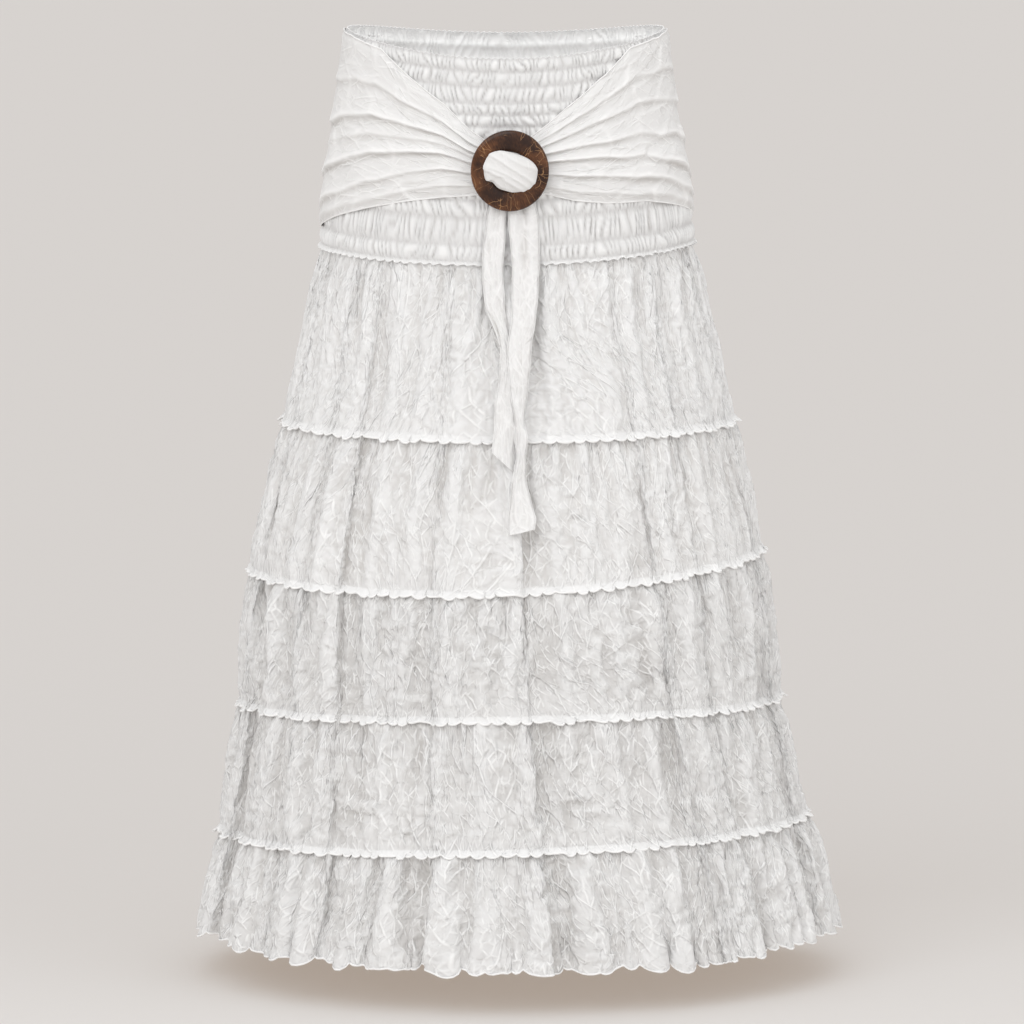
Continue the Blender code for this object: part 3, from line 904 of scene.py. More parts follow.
@dataclass(frozen=True)
class ShellFinish:
    """Polished coconut shell: dark and mid browns with thin lighter streaks."""

    name: str = "coconut_shell_polished"
    dark: Colour = (0.026, 0.0085, 0.0040)
    mid: Colour = (0.150, 0.056, 0.020)
    streak: Colour = (0.50, 0.27, 0.12)
    middle: tuple[float, float, float] = (0.004, -0.13, -0.103)
    grain: tuple[float, float, float] = (900.0, 260.0, 190.0)

    @cache
    def make(self) -> bpy.types.Material:
        """The shell's material, made once.

        A slow noise mixes the two browns. The streaks are the edges of two Voronois, where a patchy
        noise is strong too. They are read at the heading from the ring's middle plus 12 times the
        distance from it, so they run outwards. A thin lacquer coat lies over all.

        Returns:
            The material.
        """
        made, board, shader = new_material(self.name)
        place = board.add("TexCoord").outputs["Object"]
        turned = board.add("Mapping", Vector=place, Rotation=(0.0, 0.35, 0.0)).outputs[0]
        blotch = board.add("TexNoise", Vector=turned, Scale=48.0, Detail=5.0, Roughness=0.6)
        drawn = board.vector("MULTIPLY", turned, self.grain)
        grain = board.add("TexNoise", Vector=drawn, Scale=1.0, Detail=4.0).outputs["Fac"]
        mixed = board.math("MULTIPLY_ADD", grain, 0.35, blotch.outputs["Fac"])
        brown = board.mix(board.step(mixed, 0.52, 0.88), self.dark, self.mid)
        parts = board.add("SeparateXYZ", Vector=board.vector("SUBTRACT", place, self.middle))
        flat = board.add("CombineXYZ", X=parts.outputs["X"], Y=parts.outputs["Z"]).outputs[0]
        depth = board.math("MULTIPLY", board.vector("LENGTH", flat), 12.0)
        lifted = board.add("CombineXYZ", Z=depth).outputs[0]
        polar = board.vector("ADD", board.vector("NORMALIZE", flat), lifted)
        bend = board.add("TexNoise", Vector=place, Scale=70.0, Detail=2.0).outputs["Color"]
        pushed = board.vector("MULTIPLY_ADD", bend, (0.2, 0.2, 0.2), polar)
        streak = 0.0
        for scale, wide, patches in ((2.2, 0.014, 60.0), (3.6, 0.019, 120.0)):
            edge = {"feature": "DISTANCE_TO_EDGE"}
            edges = board.add("TexVoronoi", edge, Vector=pushed, Scale=scale)
            line = board.math("SUBTRACT", 1.0, board.step(edges.outputs["Distance"], 0.0, wide))
            patch = board.add("TexNoise", Vector=place, Scale=patches, Detail=1.0).outputs["Fac"]
            one = board.math("MULTIPLY", line, board.step(patch, 0.46, 0.56))
            streak = board.math("MAXIMUM", one, streak)
        colour = board.mix(board.math("MULTIPLY", streak, 0.8), brown, self.streak)
        bump = board.add("Bump", Height=mixed, Strength=0.35, Distance=0.12 * MM)
        board.fill(
            shader, Base_Color=colour, Roughness=board.math("MULTIPLY_ADD", grain, 0.12, 0.26),
            Normal=bump.outputs["Normal"], Specular_IOR_Level=0.2, Coat_Weight=0.35,
            Coat_Roughness=0.15,
        )
        return made


@dataclass(frozen=True)
class FloorFinish:
    """The plain pale floor, with a painted glow and, as painted light, paler towards the front."""

    name: str = "pale_floor"
    colour: Colour = (0.372, 0.410, 0.440)
    # Painted light: the floor is paler towards the front.
    front_colour: Colour = (0.465, 0.505, 0.535)
    # Painted glow that lightens and warms the skirt's shadow on the floor.
    glow: Colour = (0.32, 0.257, 0.208)

    def make(self) -> bpy.types.Material:
        """The floor's material: two colours mixed by the place from back to front and a noise.

        Returns:
            The material.
        """
        made, board, shader = new_material(self.name)
        place = board.add("TexCoord").outputs["Object"]
        noise = board.add("TexNoise", Vector=place, Scale=1.5, Detail=2.0)
        parts = board.add("SeparateXYZ", Vector=place)
        towards = board.math("MULTIPLY_ADD", noise.outputs["Fac"], 0.15, parts.outputs["Y"])
        colour = board.mix(board.step(towards, -0.75, 0.9), self.front_colour, self.colour)
        # Painted glow: the floor's emission lightens and warms the shadow under the skirt.
        board.fill(
            shader, Base_Color=colour, Roughness=0.95, Specular_IOR_Level=0.1,
            Emission_Color=self.glow, Emission_Strength=1.0,
        )
        return made


# Each cloth finish's second colour is its painted highlight colour and its third its painted shade
# colour.
HIGHLIGHT_WHITE = (0.99, 0.99, 0.985)
SASH_SHADE = (0.60, 0.58, 0.56)
UPPER_GAUZE = ClothFinish(
    "crinkled_gauze_upper", (0.875,) * 3, HIGHLIGHT_WHITE, (0.62, 0.60, 0.58), 90.0, 0.5, 2.1, 1.2
)
GAUZE = ClothFinish(
    "crinkled_gauze", (0.855,) * 3, HIGHLIGHT_WHITE, (0.62, 0.605, 0.59), 95.0, 0.5, 2.7, 1.3
)
# Its painted glow lights the inner side where the crest mask is, mostly the inside of the back.
SMOCKED_GAUZE = ClothFinish(
    "smocked_gauze", (0.84,) * 3, (0.98, 0.98, 0.975), (0.50, 0.48, 0.465),
    130.0, 0.3, 1.0, 0.5, 0.3, through=0.15,
)
SASH_COTTON = ClothFinish(
    "crinkled_sash_cotton", (0.875, 0.872, 0.868), (0.99, 0.985, 0.98), SASH_SHADE,
    60.0, 0.4, 2.2, 0.9, 0.7,
)
KNOT_COTTON = ClothFinish(
    "bunched_sash_cotton", (0.86, 0.857, 0.852), (0.98, 0.975, 0.97), SASH_SHADE,
    90.0, 0.3, 1.0, 0.6, 0.3,
)


# ------------------------------------------------------------------------------------- the body


class Seam(NamedTuple):
    """A seam line's height at the front, both sides and the back."""

    front: float
    right: float
    back: float
    left: float

    def height(self, turn: Array) -> Array:
        """The smooth wave through the four heights.

        It is mean + (front - back)/2 cos t + (right - left)/2 sin t + (front + back - right -
        left)/4 cos 2t.

        Args:
            turn: where round the body, in degrees.

        Returns:
            The height at each turn.
        """
        t = np.radians(turn)
        twice = (self.front + self.back - self.right - self.left) / 4.0
        level = sum(self) / 4.0 + (self.front - self.back) / 2.0 * np.cos(t)
        return level + (self.right - self.left) / 2.0 * np.sin(t) + twice * np.cos(2.0 * t)


SEAMS = (
    Seam(-190, -181, -189, -185),
    Seam(-352, -350, -351, -351),
    Seam(-494, -475, -488, -495),
    Seam(-613, -618, -616, -625),
    Seam(-736, -732, -738, -749),
    Seam(-850, -844, -853, -846),
)


class Level(NamedTuple):
    """The body at one height: half its width, its reach to front and back, and its middle."""

    z: float
    half_width: float
    front: float
    back: float
    centre_x: float


@dataclass(frozen=True)
class Body:
    """The form that the skirt stands in, from the waist to the hem."""

    levels: tuple[Level, ...] = (
        Level(-860, 312.0, 253, 255, 12),
        Level(-800, 295.0, 238, 240, 11),
        Level(-740, 282.5, 225, 227, 10),
        Level(-690, 270.0, 214, 217, 7),
        Level(-620, 259.0, 204, 208, 4),
        Level(-560, 252.0, 196, 201, 2),
        Level(-490, 247.0, 186, 193, 1),
        Level(-425, 231.0, 172, 180, 2),
        Level(-355, 216.5, 158, 168, 3),
        Level(-300, 202.0, 148, 158, 3),
        Level(-240, 188.5, 137, 149, 2),
        Level(-190, 179.0, 127, 140, 2),
        Level(-170, 176.0, 125, 138, 2),
        Level(-110, 167.5, 120, 130, 1),
        Level(-50, 158.0, 113, 117, 0),
        Level(0, 152.0, 107, 107, 0),
        Level(20, 151.0, 105, 106, 0),
    )
    softened_over: float = 9.0

    def section(self, z: Array) -> list[Array]:
        """The body's sizes at a height, from the levels joined by straight lines and softened.

        Args:
            z: heights.

        Returns:
            Half width, front reach, back reach and the middle's x at each height.
        """
        steps = np.arange(-910.0, 60.0, 2.0)
        at, *columns = np.array(self.levels).T
        weights = bell(np.arange(-15, 16) * 2.0, self.softened_over)
        lines = (smoothed(np.interp(steps, at, column), weights) for column in columns)
        return [np.interp(z, steps, line) for line in lines]

    def place(self, turn: Size, z: Size, out: Size, along: Size = 0.0) -> Array:
        """Points on the body's surface, moved out from it and along it.

        The section is x = centre + half width * sin t, y = -reach * cos t, with one reach for the
        front half and one for the back. out is along its level normal and along is along its
        tangent, towards larger turns.

        Args:
            turn: where round the body, in degrees.
            z: heights.
            out: distances out of the surface.
            along: distances along it.

        Returns:
            The points, with x, y and z in the last axis.
        """
        turn, z, out, along = np.broadcast_arrays(turn, z, out, along)
        t = np.radians(turn)
        half_width, front, back, centre = self.section(z)
        reach = np.where(np.cos(t) > 0.0, front, back)
        normal = unit(np.stack([np.sin(t) / half_width, -np.cos(t) / reach], axis=-1))
        x = centre + half_width * np.sin(t) + out * normal[..., 0] - along * normal[..., 1]
        y = -reach * np.cos(t) + out * normal[..., 1] + along * normal[..., 0]
        return np.stack([x, y, z], axis=-1)

    def girth(self, z: float) -> float:
        """The distance round the body at a height, from 720 short chords."""
        ring = self.place(np.arange(720) / 2.0, z, 0.0)
        return float(np.linalg.norm(ring - np.roll(ring, 1, axis=0), axis=1).sum())


BODY = Body()


class Side(Enum):
    """Which side of a hollow, or of the skirt, something is on."""

    LEFT = -1
    RIGHT = 1


class Hollow(NamedTuple):
    """A large hollow that runs down through the tiers, between two smoother panels."""

    top_turn: float
    hem_turn: float
    half_width: float
    start_z: float
    top_depth: float
    hem_depth: float
    steep: Side


def turned_from(turn: Array, start: float) -> Array:
    """How far round the turns are from the start, -180 to 180 degrees."""
    return (turn - start + 180.0) % 360.0 - 180.0


@dataclass(frozen=True)
class Hollows:
    """All the large hollows. Each has one steep side that its panel hangs over."""

    rows: tuple[Hollow, ...] = (
        Hollow(5, 9, 3.2, -215, 4.0, 9.0, Side.LEFT),
        Hollow(29, 37, 3.4, -205, 4.0, 8.0, Side.RIGHT),
        Hollow(50, 51, 3.2, -260, 3.0, 11.0, Side.LEFT),
        Hollow(72, 70, 3.0, -365, 3.0, 8.0, Side.RIGHT),
        Hollow(96, 93, 3.6, -230, 5.0, 10.0, Side.LEFT),
        Hollow(118, 121, 3.0, -365, 3.0, 9.0, Side.LEFT),
        Hollow(139, 136, 3.4, -215, 4.5, 10.0, Side.RIGHT),
        Hollow(158, 160, 3.2, -365, 3.0, 8.0, Side.LEFT),
        Hollow(181, 178, 3.6, -215, 5.0, 11.0, Side.LEFT),
        Hollow(203, 206, 3.0, -500, 2.0, 8.0, Side.RIGHT),
        Hollow(222, 219, 3.4, -215, 4.5, 10.0, Side.LEFT),
        Hollow(246, 248, 3.0, -365, 3.0, 8.0, Side.RIGHT),
        Hollow(268, 265, 3.6, -230, 5.0, 10.0, Side.RIGHT),
        Hollow(291, 288, 3.2, -365, 3.0, 9.0, Side.LEFT),
        Hollow(305, 304, 3.0, -500, 2.0, 8.0, Side.RIGHT),
        Hollow(322, 326, 3.6, -215, 5.0, 11.0, Side.LEFT),
        Hollow(340, 341, 3.0, -365, 3.0, 8.0, Side.RIGHT),
    )
    hem_z: float = -850.0
    depth_share: float = 0.85
    rim_share: float = 0.16
    lean: float = 3.4

    def columns(self, count: int) -> Array:
        """Turns for so many columns, closer together along the hollows' steep sides.

        The closeness is 1 + the sum of 1.3 * bell(turn - steep side, 1.8 degrees), and the columns
        stand where its running total is a whole share of its last value.

        Args:
            count: how many columns.

        Returns:
            The columns' turns.
        """
        fine = np.arange(0.0, 360.0, 0.05)
        close = np.ones_like(fine)
        for row in self.rows:
            edge = row.top_turn + row.steep.value * row.half_width
            close += 1.3 * bell(turned_from(fine, edge), 1.8)
        total = np.concatenate([[0.0], np.cumsum(close)])
        wanted = np.arange(count) * total[-1] / count
        return np.interp(wanted, total, np.append(fine, 360.0))

    def way_down(self, z: Array) -> Array:
        """How far down its own length each hollow is at these heights, 0 to 1, in a last axis."""
        start = np.array([row.start_z for row in self.rows])
        return np.clip((start - z[..., None]) / (start - self.hem_z), 0.0, 1.0)

    def drifted(self, turn: Array, z: Array) -> Array:
        """The turns moved so that every hollow keeps its own column all the way down.

        Each hollow's shift is (hem turn - top turn) * its way down, and between two hollows the
        shift goes evenly from one to the other.

        Args:
            turn: the columns' turns.
            z: rows x columns of heights.

        Returns:
            Rows x columns of turns.
        """
        tops = np.array([row.top_turn for row in self.rows])
        after = np.searchsorted(tops, turn) % len(tops)
        before = (after - 1) % len(tops)
        share = ((turn - tops[before]) % 360.0) / ((tops[after] - tops[before]) % 360.0)
        moves = self.way_down(z) * np.array([row.hem_turn - row.top_turn for row in self.rows])
        columns = np.arange(len(turn))
        return turn + (1.0 - share) * moves[:, columns, before] + share * moves[:, columns, after]

    def shape(self, turn: Array, z: Array) -> tuple[Array, Array, Array]:
        """The hollows' depth, how far their steep sides lean over them, and their shade.

        With q the distance from the steep side, positive on the panel, the depth is a soft step
        from q = 1.5 to -3.5 mm there and a longer one on the other side. The lean is
        (q/3 + 0.15) * bell(q, 5 mm), so that the panel's edge moves over the hollow and the
        hollow's own edge moves in under it.

        Args:
            turn: the columns' turns, before their drift.
            z: rows x columns of heights.

        Returns:
            Depth and lean in millimetres, and shade from 0 to 1, each rows x columns.
        """
        depth, lean, shade = (np.zeros(z.shape) for _ in range(3))
        half_width, front, back, _ = BODY.section(z)
        per_degree = (half_width + (front + back) / 2.0) / 2.0 * np.pi / 180.0
        ways = self.way_down(z)
        for number, row in enumerate(self.rows):
            side = row.steep.value
            off = turned_from(turn, row.top_turn) * side
            q = (off - row.half_width) * per_degree
            far = (off + row.half_width) * per_degree
            fade = ease(-z, -row.start_z - 10.0, -row.start_z + 45.0)
            size = row.top_depth + (row.hem_depth - row.top_depth) * ways[..., number]
            inside = (1.0 - ease(q, -3.5, 1.5)) * ease(far, -7.0, 8.0)
            depth += self.depth_share * size * fade * inside
            depth -= self.rim_share * size * fade * bell(q - 4.0, 5.0)
            lean -= side * self.lean * fade * size / 8.0 * (q / 3.0 + 0.15) * bell(q, 5.0)
            shade += fade * inside * np.clip(size / 9.0, 0.0, 1.0)
        return depth, lean, np.clip(shade, 0.0, 1.0)


HOLLOWS = Hollows()


# -------------------------------------------------------------------------------------- tiers


class Edge(NamedTuple):
    """The stitch line that the next piece hangs from: turns round it, and its place there."""

    turn: Array
    out: Array
    along: Array

    def read(self, turn: Array) -> list[Array]:
        """How far out and along the stitch line is at these turns, read between its points."""
        return [np.interp(turn, self.turn, values, period=360.0) for values in self[1:]]


class Creased(NamedTuple):
    """Fine creases over a sheet: how high they stand, and a painted highlight on their crests, 0 to
    1.
    """

    height: Array
    crest: Array


@dataclass(frozen=True)
class Creases:
    """Two sizes of crumpled facets, drawn out down the sheet and leaning, with raised crests."""

    wide: float
    tall: float
    high: float
    crest_high: float
    crisp: float
    lean: float = 0.32
    small_share: float = 0.5

    def over(self, lie: Lie, seed: int) -> Creased:
        """The creases at these places.

        Both sizes are read at (u + lean * v + a slow noise, v / tall), the smaller at 1.8 times
        the scale, and a patchy noise makes them stronger and weaker.

        Args:
            lie: where the points lie.
            seed: picks the facets.

        Returns:
            The height in millimetres and the crests' painted highlight.
        """
        slow = lie.cells(55.0, 3)
        leaning = lie.u + self.lean * lie.v + 9.0 * lie.noise(slow, seed + 1, lie.v / 48.0)
        total, crest = np.zeros(lie.u.shape), np.zeros(lie.u.shape)
        for number, share in enumerate((1.0, self.small_share)):
            cells = lie.cells(self.wide / 1.8**number, 4)
            pitch = lie.girth / cells
            v = lie.v / (pitch * self.tall) + 0.5 * number
            facets = crumpled(leaning / pitch, v, cells, seed + 7 * number, self.crisp)
            patch = 0.75 + 0.6 * lie.noise(slow, seed + 3 + number, lie.v / 34.0, 0.4)
            total += patch * share * (self.high * facets.height + self.crest_high * facets.crease)
            crest = np.maximum(crest, patch * (0.6 + 0.4 * share) * facets.crease)
        return Creased(total, np.clip(crest, 0.0, 1.0))


@dataclass(frozen=True)
class Tier:
    """One gathered tier, with the free edge below its lower stitches."""

    number: int
    fold_columns: tuple[int, ...]
    turned_by: int
    belly_at: float
    puff: float
    belly_fold: float
    edge_fold: float
    columns: int
    fullness: float
    finish: ClothFinish
    gathering: Gathering
    creases: Creases
    row_pitch: float = 1.9
    fold_share: float = 0.5
    gather: float = 1.0
    pleats_long: float = 40.0
    # Painted shade over the whole tier; the lower tiers get more, so they are darker.
    denser: float = 0.0
    fan: float = 0.08
    tuft_wide: float = 42.0
    lip_drop: float = 5.0
    lip_flare: float = 2.0
    lettuce: float = 2.7
    lettuce_wide: float = 11.0
    scallop: float = 0.0
    flute: float = 0.0
    hem: bool = False
    hem_radius: float = 1.1
    source_columns: int = 120
    seam_inset: float = 1.3
    seam_blend: float = 30.0
    hem_waves_from: float = 26.0
    hem_spread_from: float = 90.0
    easing: float = 1.06

    def fold_phase(self, turn: Array) -> Array:
        """The folds' phase at these turns: it grows by 2 pi over every fold.

        A fold takes a few of the source's columns, which stand a little unevenly, and between
        columns the phase is read along a straight line.

        Args:
            turn: where round the tier.

        Returns:
            The phase in radians.
        """
        count = self.source_columns
        step = np.arange(count)
        t = 2.0 * np.pi * step / count
        sway = 0.35 * (np.sin(5.0 * t + 0.4) + 0.8 * np.sin(13.0 * t + 1.1))
        stand = 360.0 * (step + sway) / count
        phase: list[float] = []
        fold = 0
        while len(phase) < count:
            width = min(self.fold_columns[fold % len(self.fold_columns)], count - len(phase))
            phase += [2.0 * np.pi * (fold + i / width) for i in range(width)]
            fold += 1
        whole = 2.0 * np.pi * fold
        turned = np.roll(phase, self.turned_by)
        turned[: self.turned_by] -= whole
        points, values = (
            np.concatenate([line - once, line, line + once])
            for line, once in ((stand, 360.0), (turned, whole))
        )
        return np.interp(turn, points, values)

    def fold_wave(self, turn: Array, lie: Lie) -> tuple[Array, Array]:
        """The folds: cos q and sin q, where q = p + 0.45 sin p of a phase p that wanders a little.

        Args:
            turn: where round the tier.
            lie: where the points lie.

        Returns:
            1 on each fold's outside and -1 in its inside, times its share of depth, and the same
            for its two sides.
        """
        t = np.radians(turn)
        share = 1.0 + 0.28 * np.cos(3.0 * t + 1.7 * self.number)
        share += 0.2 * np.cos(7.0 * t + 0.9 * self.number)
        cells = lie.cells(60.0)
        wander = soft_noise(turn / 360.0 * cells, lie.v / 75.0, cells, 700 + self.number)
        phase = self.fold_phase(turn) + 0.9 * wander
        phase = phase + 0.45 * np.sin(phase)
        return share * np.cos(phase), share * np.sin(phase)

    def spread_of(self, turn: Array, lie: Lie) -> Array:
        """How far the cloth's own lines are moved round it, so that they spread from the gathers.

        Everywhere they lean by fan * down * sin(2 turn) and by a slow noise. Below the seam they
        also run together in a tuft every few centimetres: their shift there is a noise whose slope
        is steep at each tuft, times exp(-down / 55 mm).

        Args:
            turn: the columns' turns.
            lie: where the points lie.

        Returns:
            Their shift in millimetres.
        """
        seed = 800 + 9 * self.number
        across = 0.3 + 0.25 * lie.v / self.tuft_wide
        tuft = lie.noise(lie.cells(self.tuft_wide), seed, across)
        sway = lie.noise(lie.cells(150.0), seed + 1, lie.v / 150.0)
        lean = self.fan * np.sin(np.radians(2.0 * turn))
        near = np.exp(-lie.v.clip(0.0) / 55.0)
        return 0.26 * self.tuft_wide * tuft * near + lie.v * (0.2 * sway - lean)

    def gathers(self, lie: Lie) -> Array:
        """The gathers below the seam: three waves, each wider and longer than the one before.

        Each is 1 - 2 |sin|^0.75 of a phase that a noise bends, so its ridges are sharp, times
        exp(-down / length) and a noise that makes it come and go.

        Args:
            lie: where the points lie.

        Returns:
            Their height.
        """
        total = np.zeros(lie.u.shape)
        waves = ((8.0, 18.0, 1.2), (15.0, 52.0, 1.4), (31.0, 110.0, 1.5))
        for number, (wide, length, size) in enumerate(waves):
            cells, seed = lie.cells(2.6 * wide), 90 + 7 * self.number + number
            size = size * (1.0 + 0.8 * lie.noise(cells, seed + 3, lie.v / length))
            phase = np.pi * lie.u * lie.cells(wide) / lie.girth
            phase = phase + 2.2 * lie.noise(cells, seed, lie.v / (1.6 * length))
            ridges = size * (1.0 - 2.0 * np.abs(np.sin(phase)) ** 0.75)
            total += ridges * np.exp(-lie.v.clip(0.0) / length)
        return self.gather * total

    def edge_waves(self, lie: Lie) -> tuple[Array, Array, Array]:
        """The free edge's close waves, out, along and up: round lobes of one wandering phase.

        With p the phase, a lobe goes up by 1 - 2 |sin(p/2)|, so it hangs round between two sharp
        cusps. It goes out by -cos p and along by -sin p, which draws its sides over the cusps.

        Args:
            lie: where the points lie.

        Returns:
            Three offsets in millimetres.
        """
        cells, seed = lie.cells(19.0), 300 + self.number
        uneven = 0.85 + 1.2 * lie.noise(cells, seed, 3.0, 0.5)
        size = self.lettuce * np.clip(uneven, 0.15, 1.4)
        phase = 2.0 * np.pi * lie.u * lie.cells(self.lettuce_wide) / lie.girth
        phase = phase + 3.2 * lie.noise(cells, seed)
        lobes = 1.0 - 2.0 * np.abs(np.sin(phase / 2.0))
        rise = 0.65 * lobes + 0.9 * lie.noise(cells, seed, 7.0)
        along = -0.35 * size * np.sin(phase)
        return -0.5 * size * np.cos(phase), along, size * np.clip(rise, -1.3, 0.7)

    def build(self, hung_from: Edge) -> Edge:
        """Make the tier's sheet.

        Going down, its distance out of the body blends from the stitch line that it hangs from to
        its own folds, less the large hollows, with gathers that die away below the seam. A sheet
        that is cut larger then settles on that surface, which crumples it. Below the lower
        stitches it flares into a wavy free edge.

        Args:
            hung_from: the stitch line above.

        Returns:
            The tier's own lower stitch line.
        """
        turn = HOLLOWS.columns(self.columns)
        upper, lower = (seam.height(turn) for seam in SEAMS[self.number : self.number + 2])
        length = float(np.mean(upper - lower))
        rows = 4 * round(length / self.row_pitch / 4.0) + 1
        way = np.linspace(0.0, 1.0, rows)[:, None]
        lip = np.linspace(0.0, 1.0, 1 if self.hem else 5)[1:, None]
        z = np.concatenate([upper + (lower - upper) * way, lower - self.lip_drop * lip])
        past = np.concatenate([np.zeros_like(way), lip])
        way = np.concatenate([way, np.ones_like(lip)])
        down, left = upper - z, z - lower
        girth = BODY.girth(float(np.mean(z)))
        at = HOLLOWS.drifted(turn, z)
        lie = Lie(np.broadcast_to(turn / 360.0 * girth, z.shape), down, girth)

        coming = soft_noise(turn / 15.0, down / 80.0, 24, 600 + self.number)
        there = np.clip(0.6 + 0.9 * coming, 0.08, 1.1)
        depth, lean, hollow = (there * part for part in HOLLOWS.shape(turn, z))
        wave, side = self.fold_wave(at, lie)
        belly = np.where(way < self.belly_at, way / self.belly_at, (1 - way) / (1 - self.belly_at))
        swell = np.sin(belly * np.pi / 2.0)
        deeper = (self.belly_fold - self.edge_fold) * (1 - way if self.hem else swell)
        own = self.puff * swell + self.fold_share * (self.edge_fold + deeper) * wave - depth
        shift = self.spread_of(turn, lie)
        drawn = lie._replace(u=lie.u + shift)
        gathers = self.gathers(drawn) * ease(down, 0.0, 8.0)
        own += gathers

        above_out, above_along = hung_from.read(at)
        blend = ease(down, 0.0, self.seam_blend)
        out = (above_out - self.seam_inset) * (1.0 - blend) + own * blend
        along = above_along * (1.0 - blend) + lean * blend
        stitches = Edge(at[rows - 1], out[rows - 1], along[rows - 1])

        near = ease(-left, -self.hem_waves_from, 0.0) if self.hem else past
        waves = [near * wavy for wavy in self.edge_waves(lie)]
        out = out + past * (self.lip_flare + 0.3 * self.edge_fold * np.clip(wave, -1.0, 1.0))
        out = out + waves[0]
        spread = ease(-left, -self.hem_spread_from, 0.0)
        along = along + waves[1] + spread * self.flute * side
        uneven = lie.noise(18, 17) + 0.7 * lie.noise(50, 19)
        z = z - spread * self.scallop * (0.6 * np.clip(wave, -1.2, 1.2) + 1.2 * uneven)
        z = z + waves[2]

        points = BODY.place(at, z, out, along)
        base = points[:rows].copy()
        upper_part = Lie(lie.u[:rows], down[:rows], girth)
        settled = self.gathering.fold(base, upper_part, 40 * self.number + 11)
        points[:rows] += settled
        creased = self.creases.over(drawn, 60 * self.number + 5)
        inside = ease(down, 0.0, 8.0) * (1.0 - 0.7 * bell(left, 3.0))
        points += (creased.height * inside)[..., None] * grid_normals(points, True)
        area = sheet_area(points, True)
        points = with_rolled_edge(points, self.hem_radius, True)

        # Painted shade: darker in the hollows, on the folds' insides, where the settled sheet sinks
        # in and in the gathers' valleys, plus a painted shade over the whole tier that makes the
        # lower tiers darker.
        dip = -np.sum(settled * grid_normals(base, True), axis=-1) / self.gathering.band
        dips = 0.30 * np.clip(dip, -0.3, 1.0) + 0.12 * np.clip(-gathers[:rows], 0.0, 2.5)
        shade = 0.38 * hollow[:rows] + 0.10 * np.clip(-wave[:rows], 0.0, 1.0) + dips
        shade = np.clip(self.denser + shade, 0.0, 1.0)
        # Painted highlight: lighter on the crinkles' crests, on the free edge's lip and most of all
        # on the rolled edge.
        crest = 0.35 * creased.crest**2 * inside + 0.4 * past**2
        # Where the material's long pleats go; they carry bumps and painted highlights on their
        # crests.
        comes = 0.75 + 0.7 * lie.noise(22, 650 + self.number, down / 60.0)
        pleat = np.exp(-down / self.pleats_long) * comes + 0.5 * bell(left, 9.0) * (past == 0.0)
        masks = {
            "shade": np.pad(shade, ((0, len(points) - rows), (0, 0))),
            "crest": 0.9 * np.pad(crest, BELOW, constant_values=1.0),
            "pleat": np.pad(np.clip(pleat * (1.0 - past), 0.0, 1.0), BELOW),
        }
        cut_length = self.easing * length + (0.0 if self.hem else self.lip_drop) + SEWN_IN
        cut = Cut(self.fullness * BODY.girth(float(np.mean(lower))), cut_length, True)
        shift = np.pad(shift, BELOW, mode="edge") * self.fullness
        node = f"tier_{self.number + 1}"
        piece = cloth_piece(f"{node}_gauze", points, cut, masks, shift)
        dress(piece, self.finish.make(), "skirt_gauze", node)
        declare_sheet(piece, cut, area)
        return stitches


CALM = Gathering((0.02, 0.04, 0.07), (0.0, 0.01, 0.02), 1.0)
LOOSE = Gathering((0.03, 0.06, 0.09), (0.0, 0.01, 0.03), 1.4)
DENSE = Gathering((0.04, 0.08, 0.12), (0.0, 0.02, 0.04), 2.2)
LOW_CREASES = Creases(22.0, 3.6, 0.8, 0.5, 60.0)
HIGH_CREASES = Creases(17.0, 3.4, 1.4, 0.6, 50.0)
TIERS = (
    Tier(
        0, (4, 5, 4, 3), 0, 0.45, 2.0, 4.5, 2.6, 652, 1.27, UPPER_GAUZE, CALM, LOW_CREASES,
        gather=1.35, pleats_long=90.0,
    ),
    Tier(
        1, (4, 3, 5, 4, 3), 2, 0.50, 2.5, 5.0, 2.8, 760, 1.34, UPPER_GAUZE, LOOSE, LOW_CREASES,
        gather=1.25, pleats_long=65.0, denser=0.12,
    ),
    Tier(
        2, (3, 4, 3, 4), 1, 0.50, 3.0, 5.5, 3.0, 840, 1.40, GAUZE, DENSE, HIGH_CREASES,
        denser=0.24,
    ),
    Tier(
        3, (4, 3, 3, 2), 3, 0.50, 3.0, 5.5, 3.2, 900, 1.40, GAUZE, DENSE, HIGH_CREASES,
        denser=0.27,
    ),
    Tier(
        4, (3, 4, 2, 3), 1, 0.50, 2.5, 6.5, 9.0, 1000, 1.45, GAUZE, DENSE, HIGH_CREASES,
        denser=0.25, scallop=3.0, flute=4.0, hem=True, lettuce=3.8, lettuce_wide=20.0,
    ),
)


# --------------------------------------------------------------------------------------- yoke


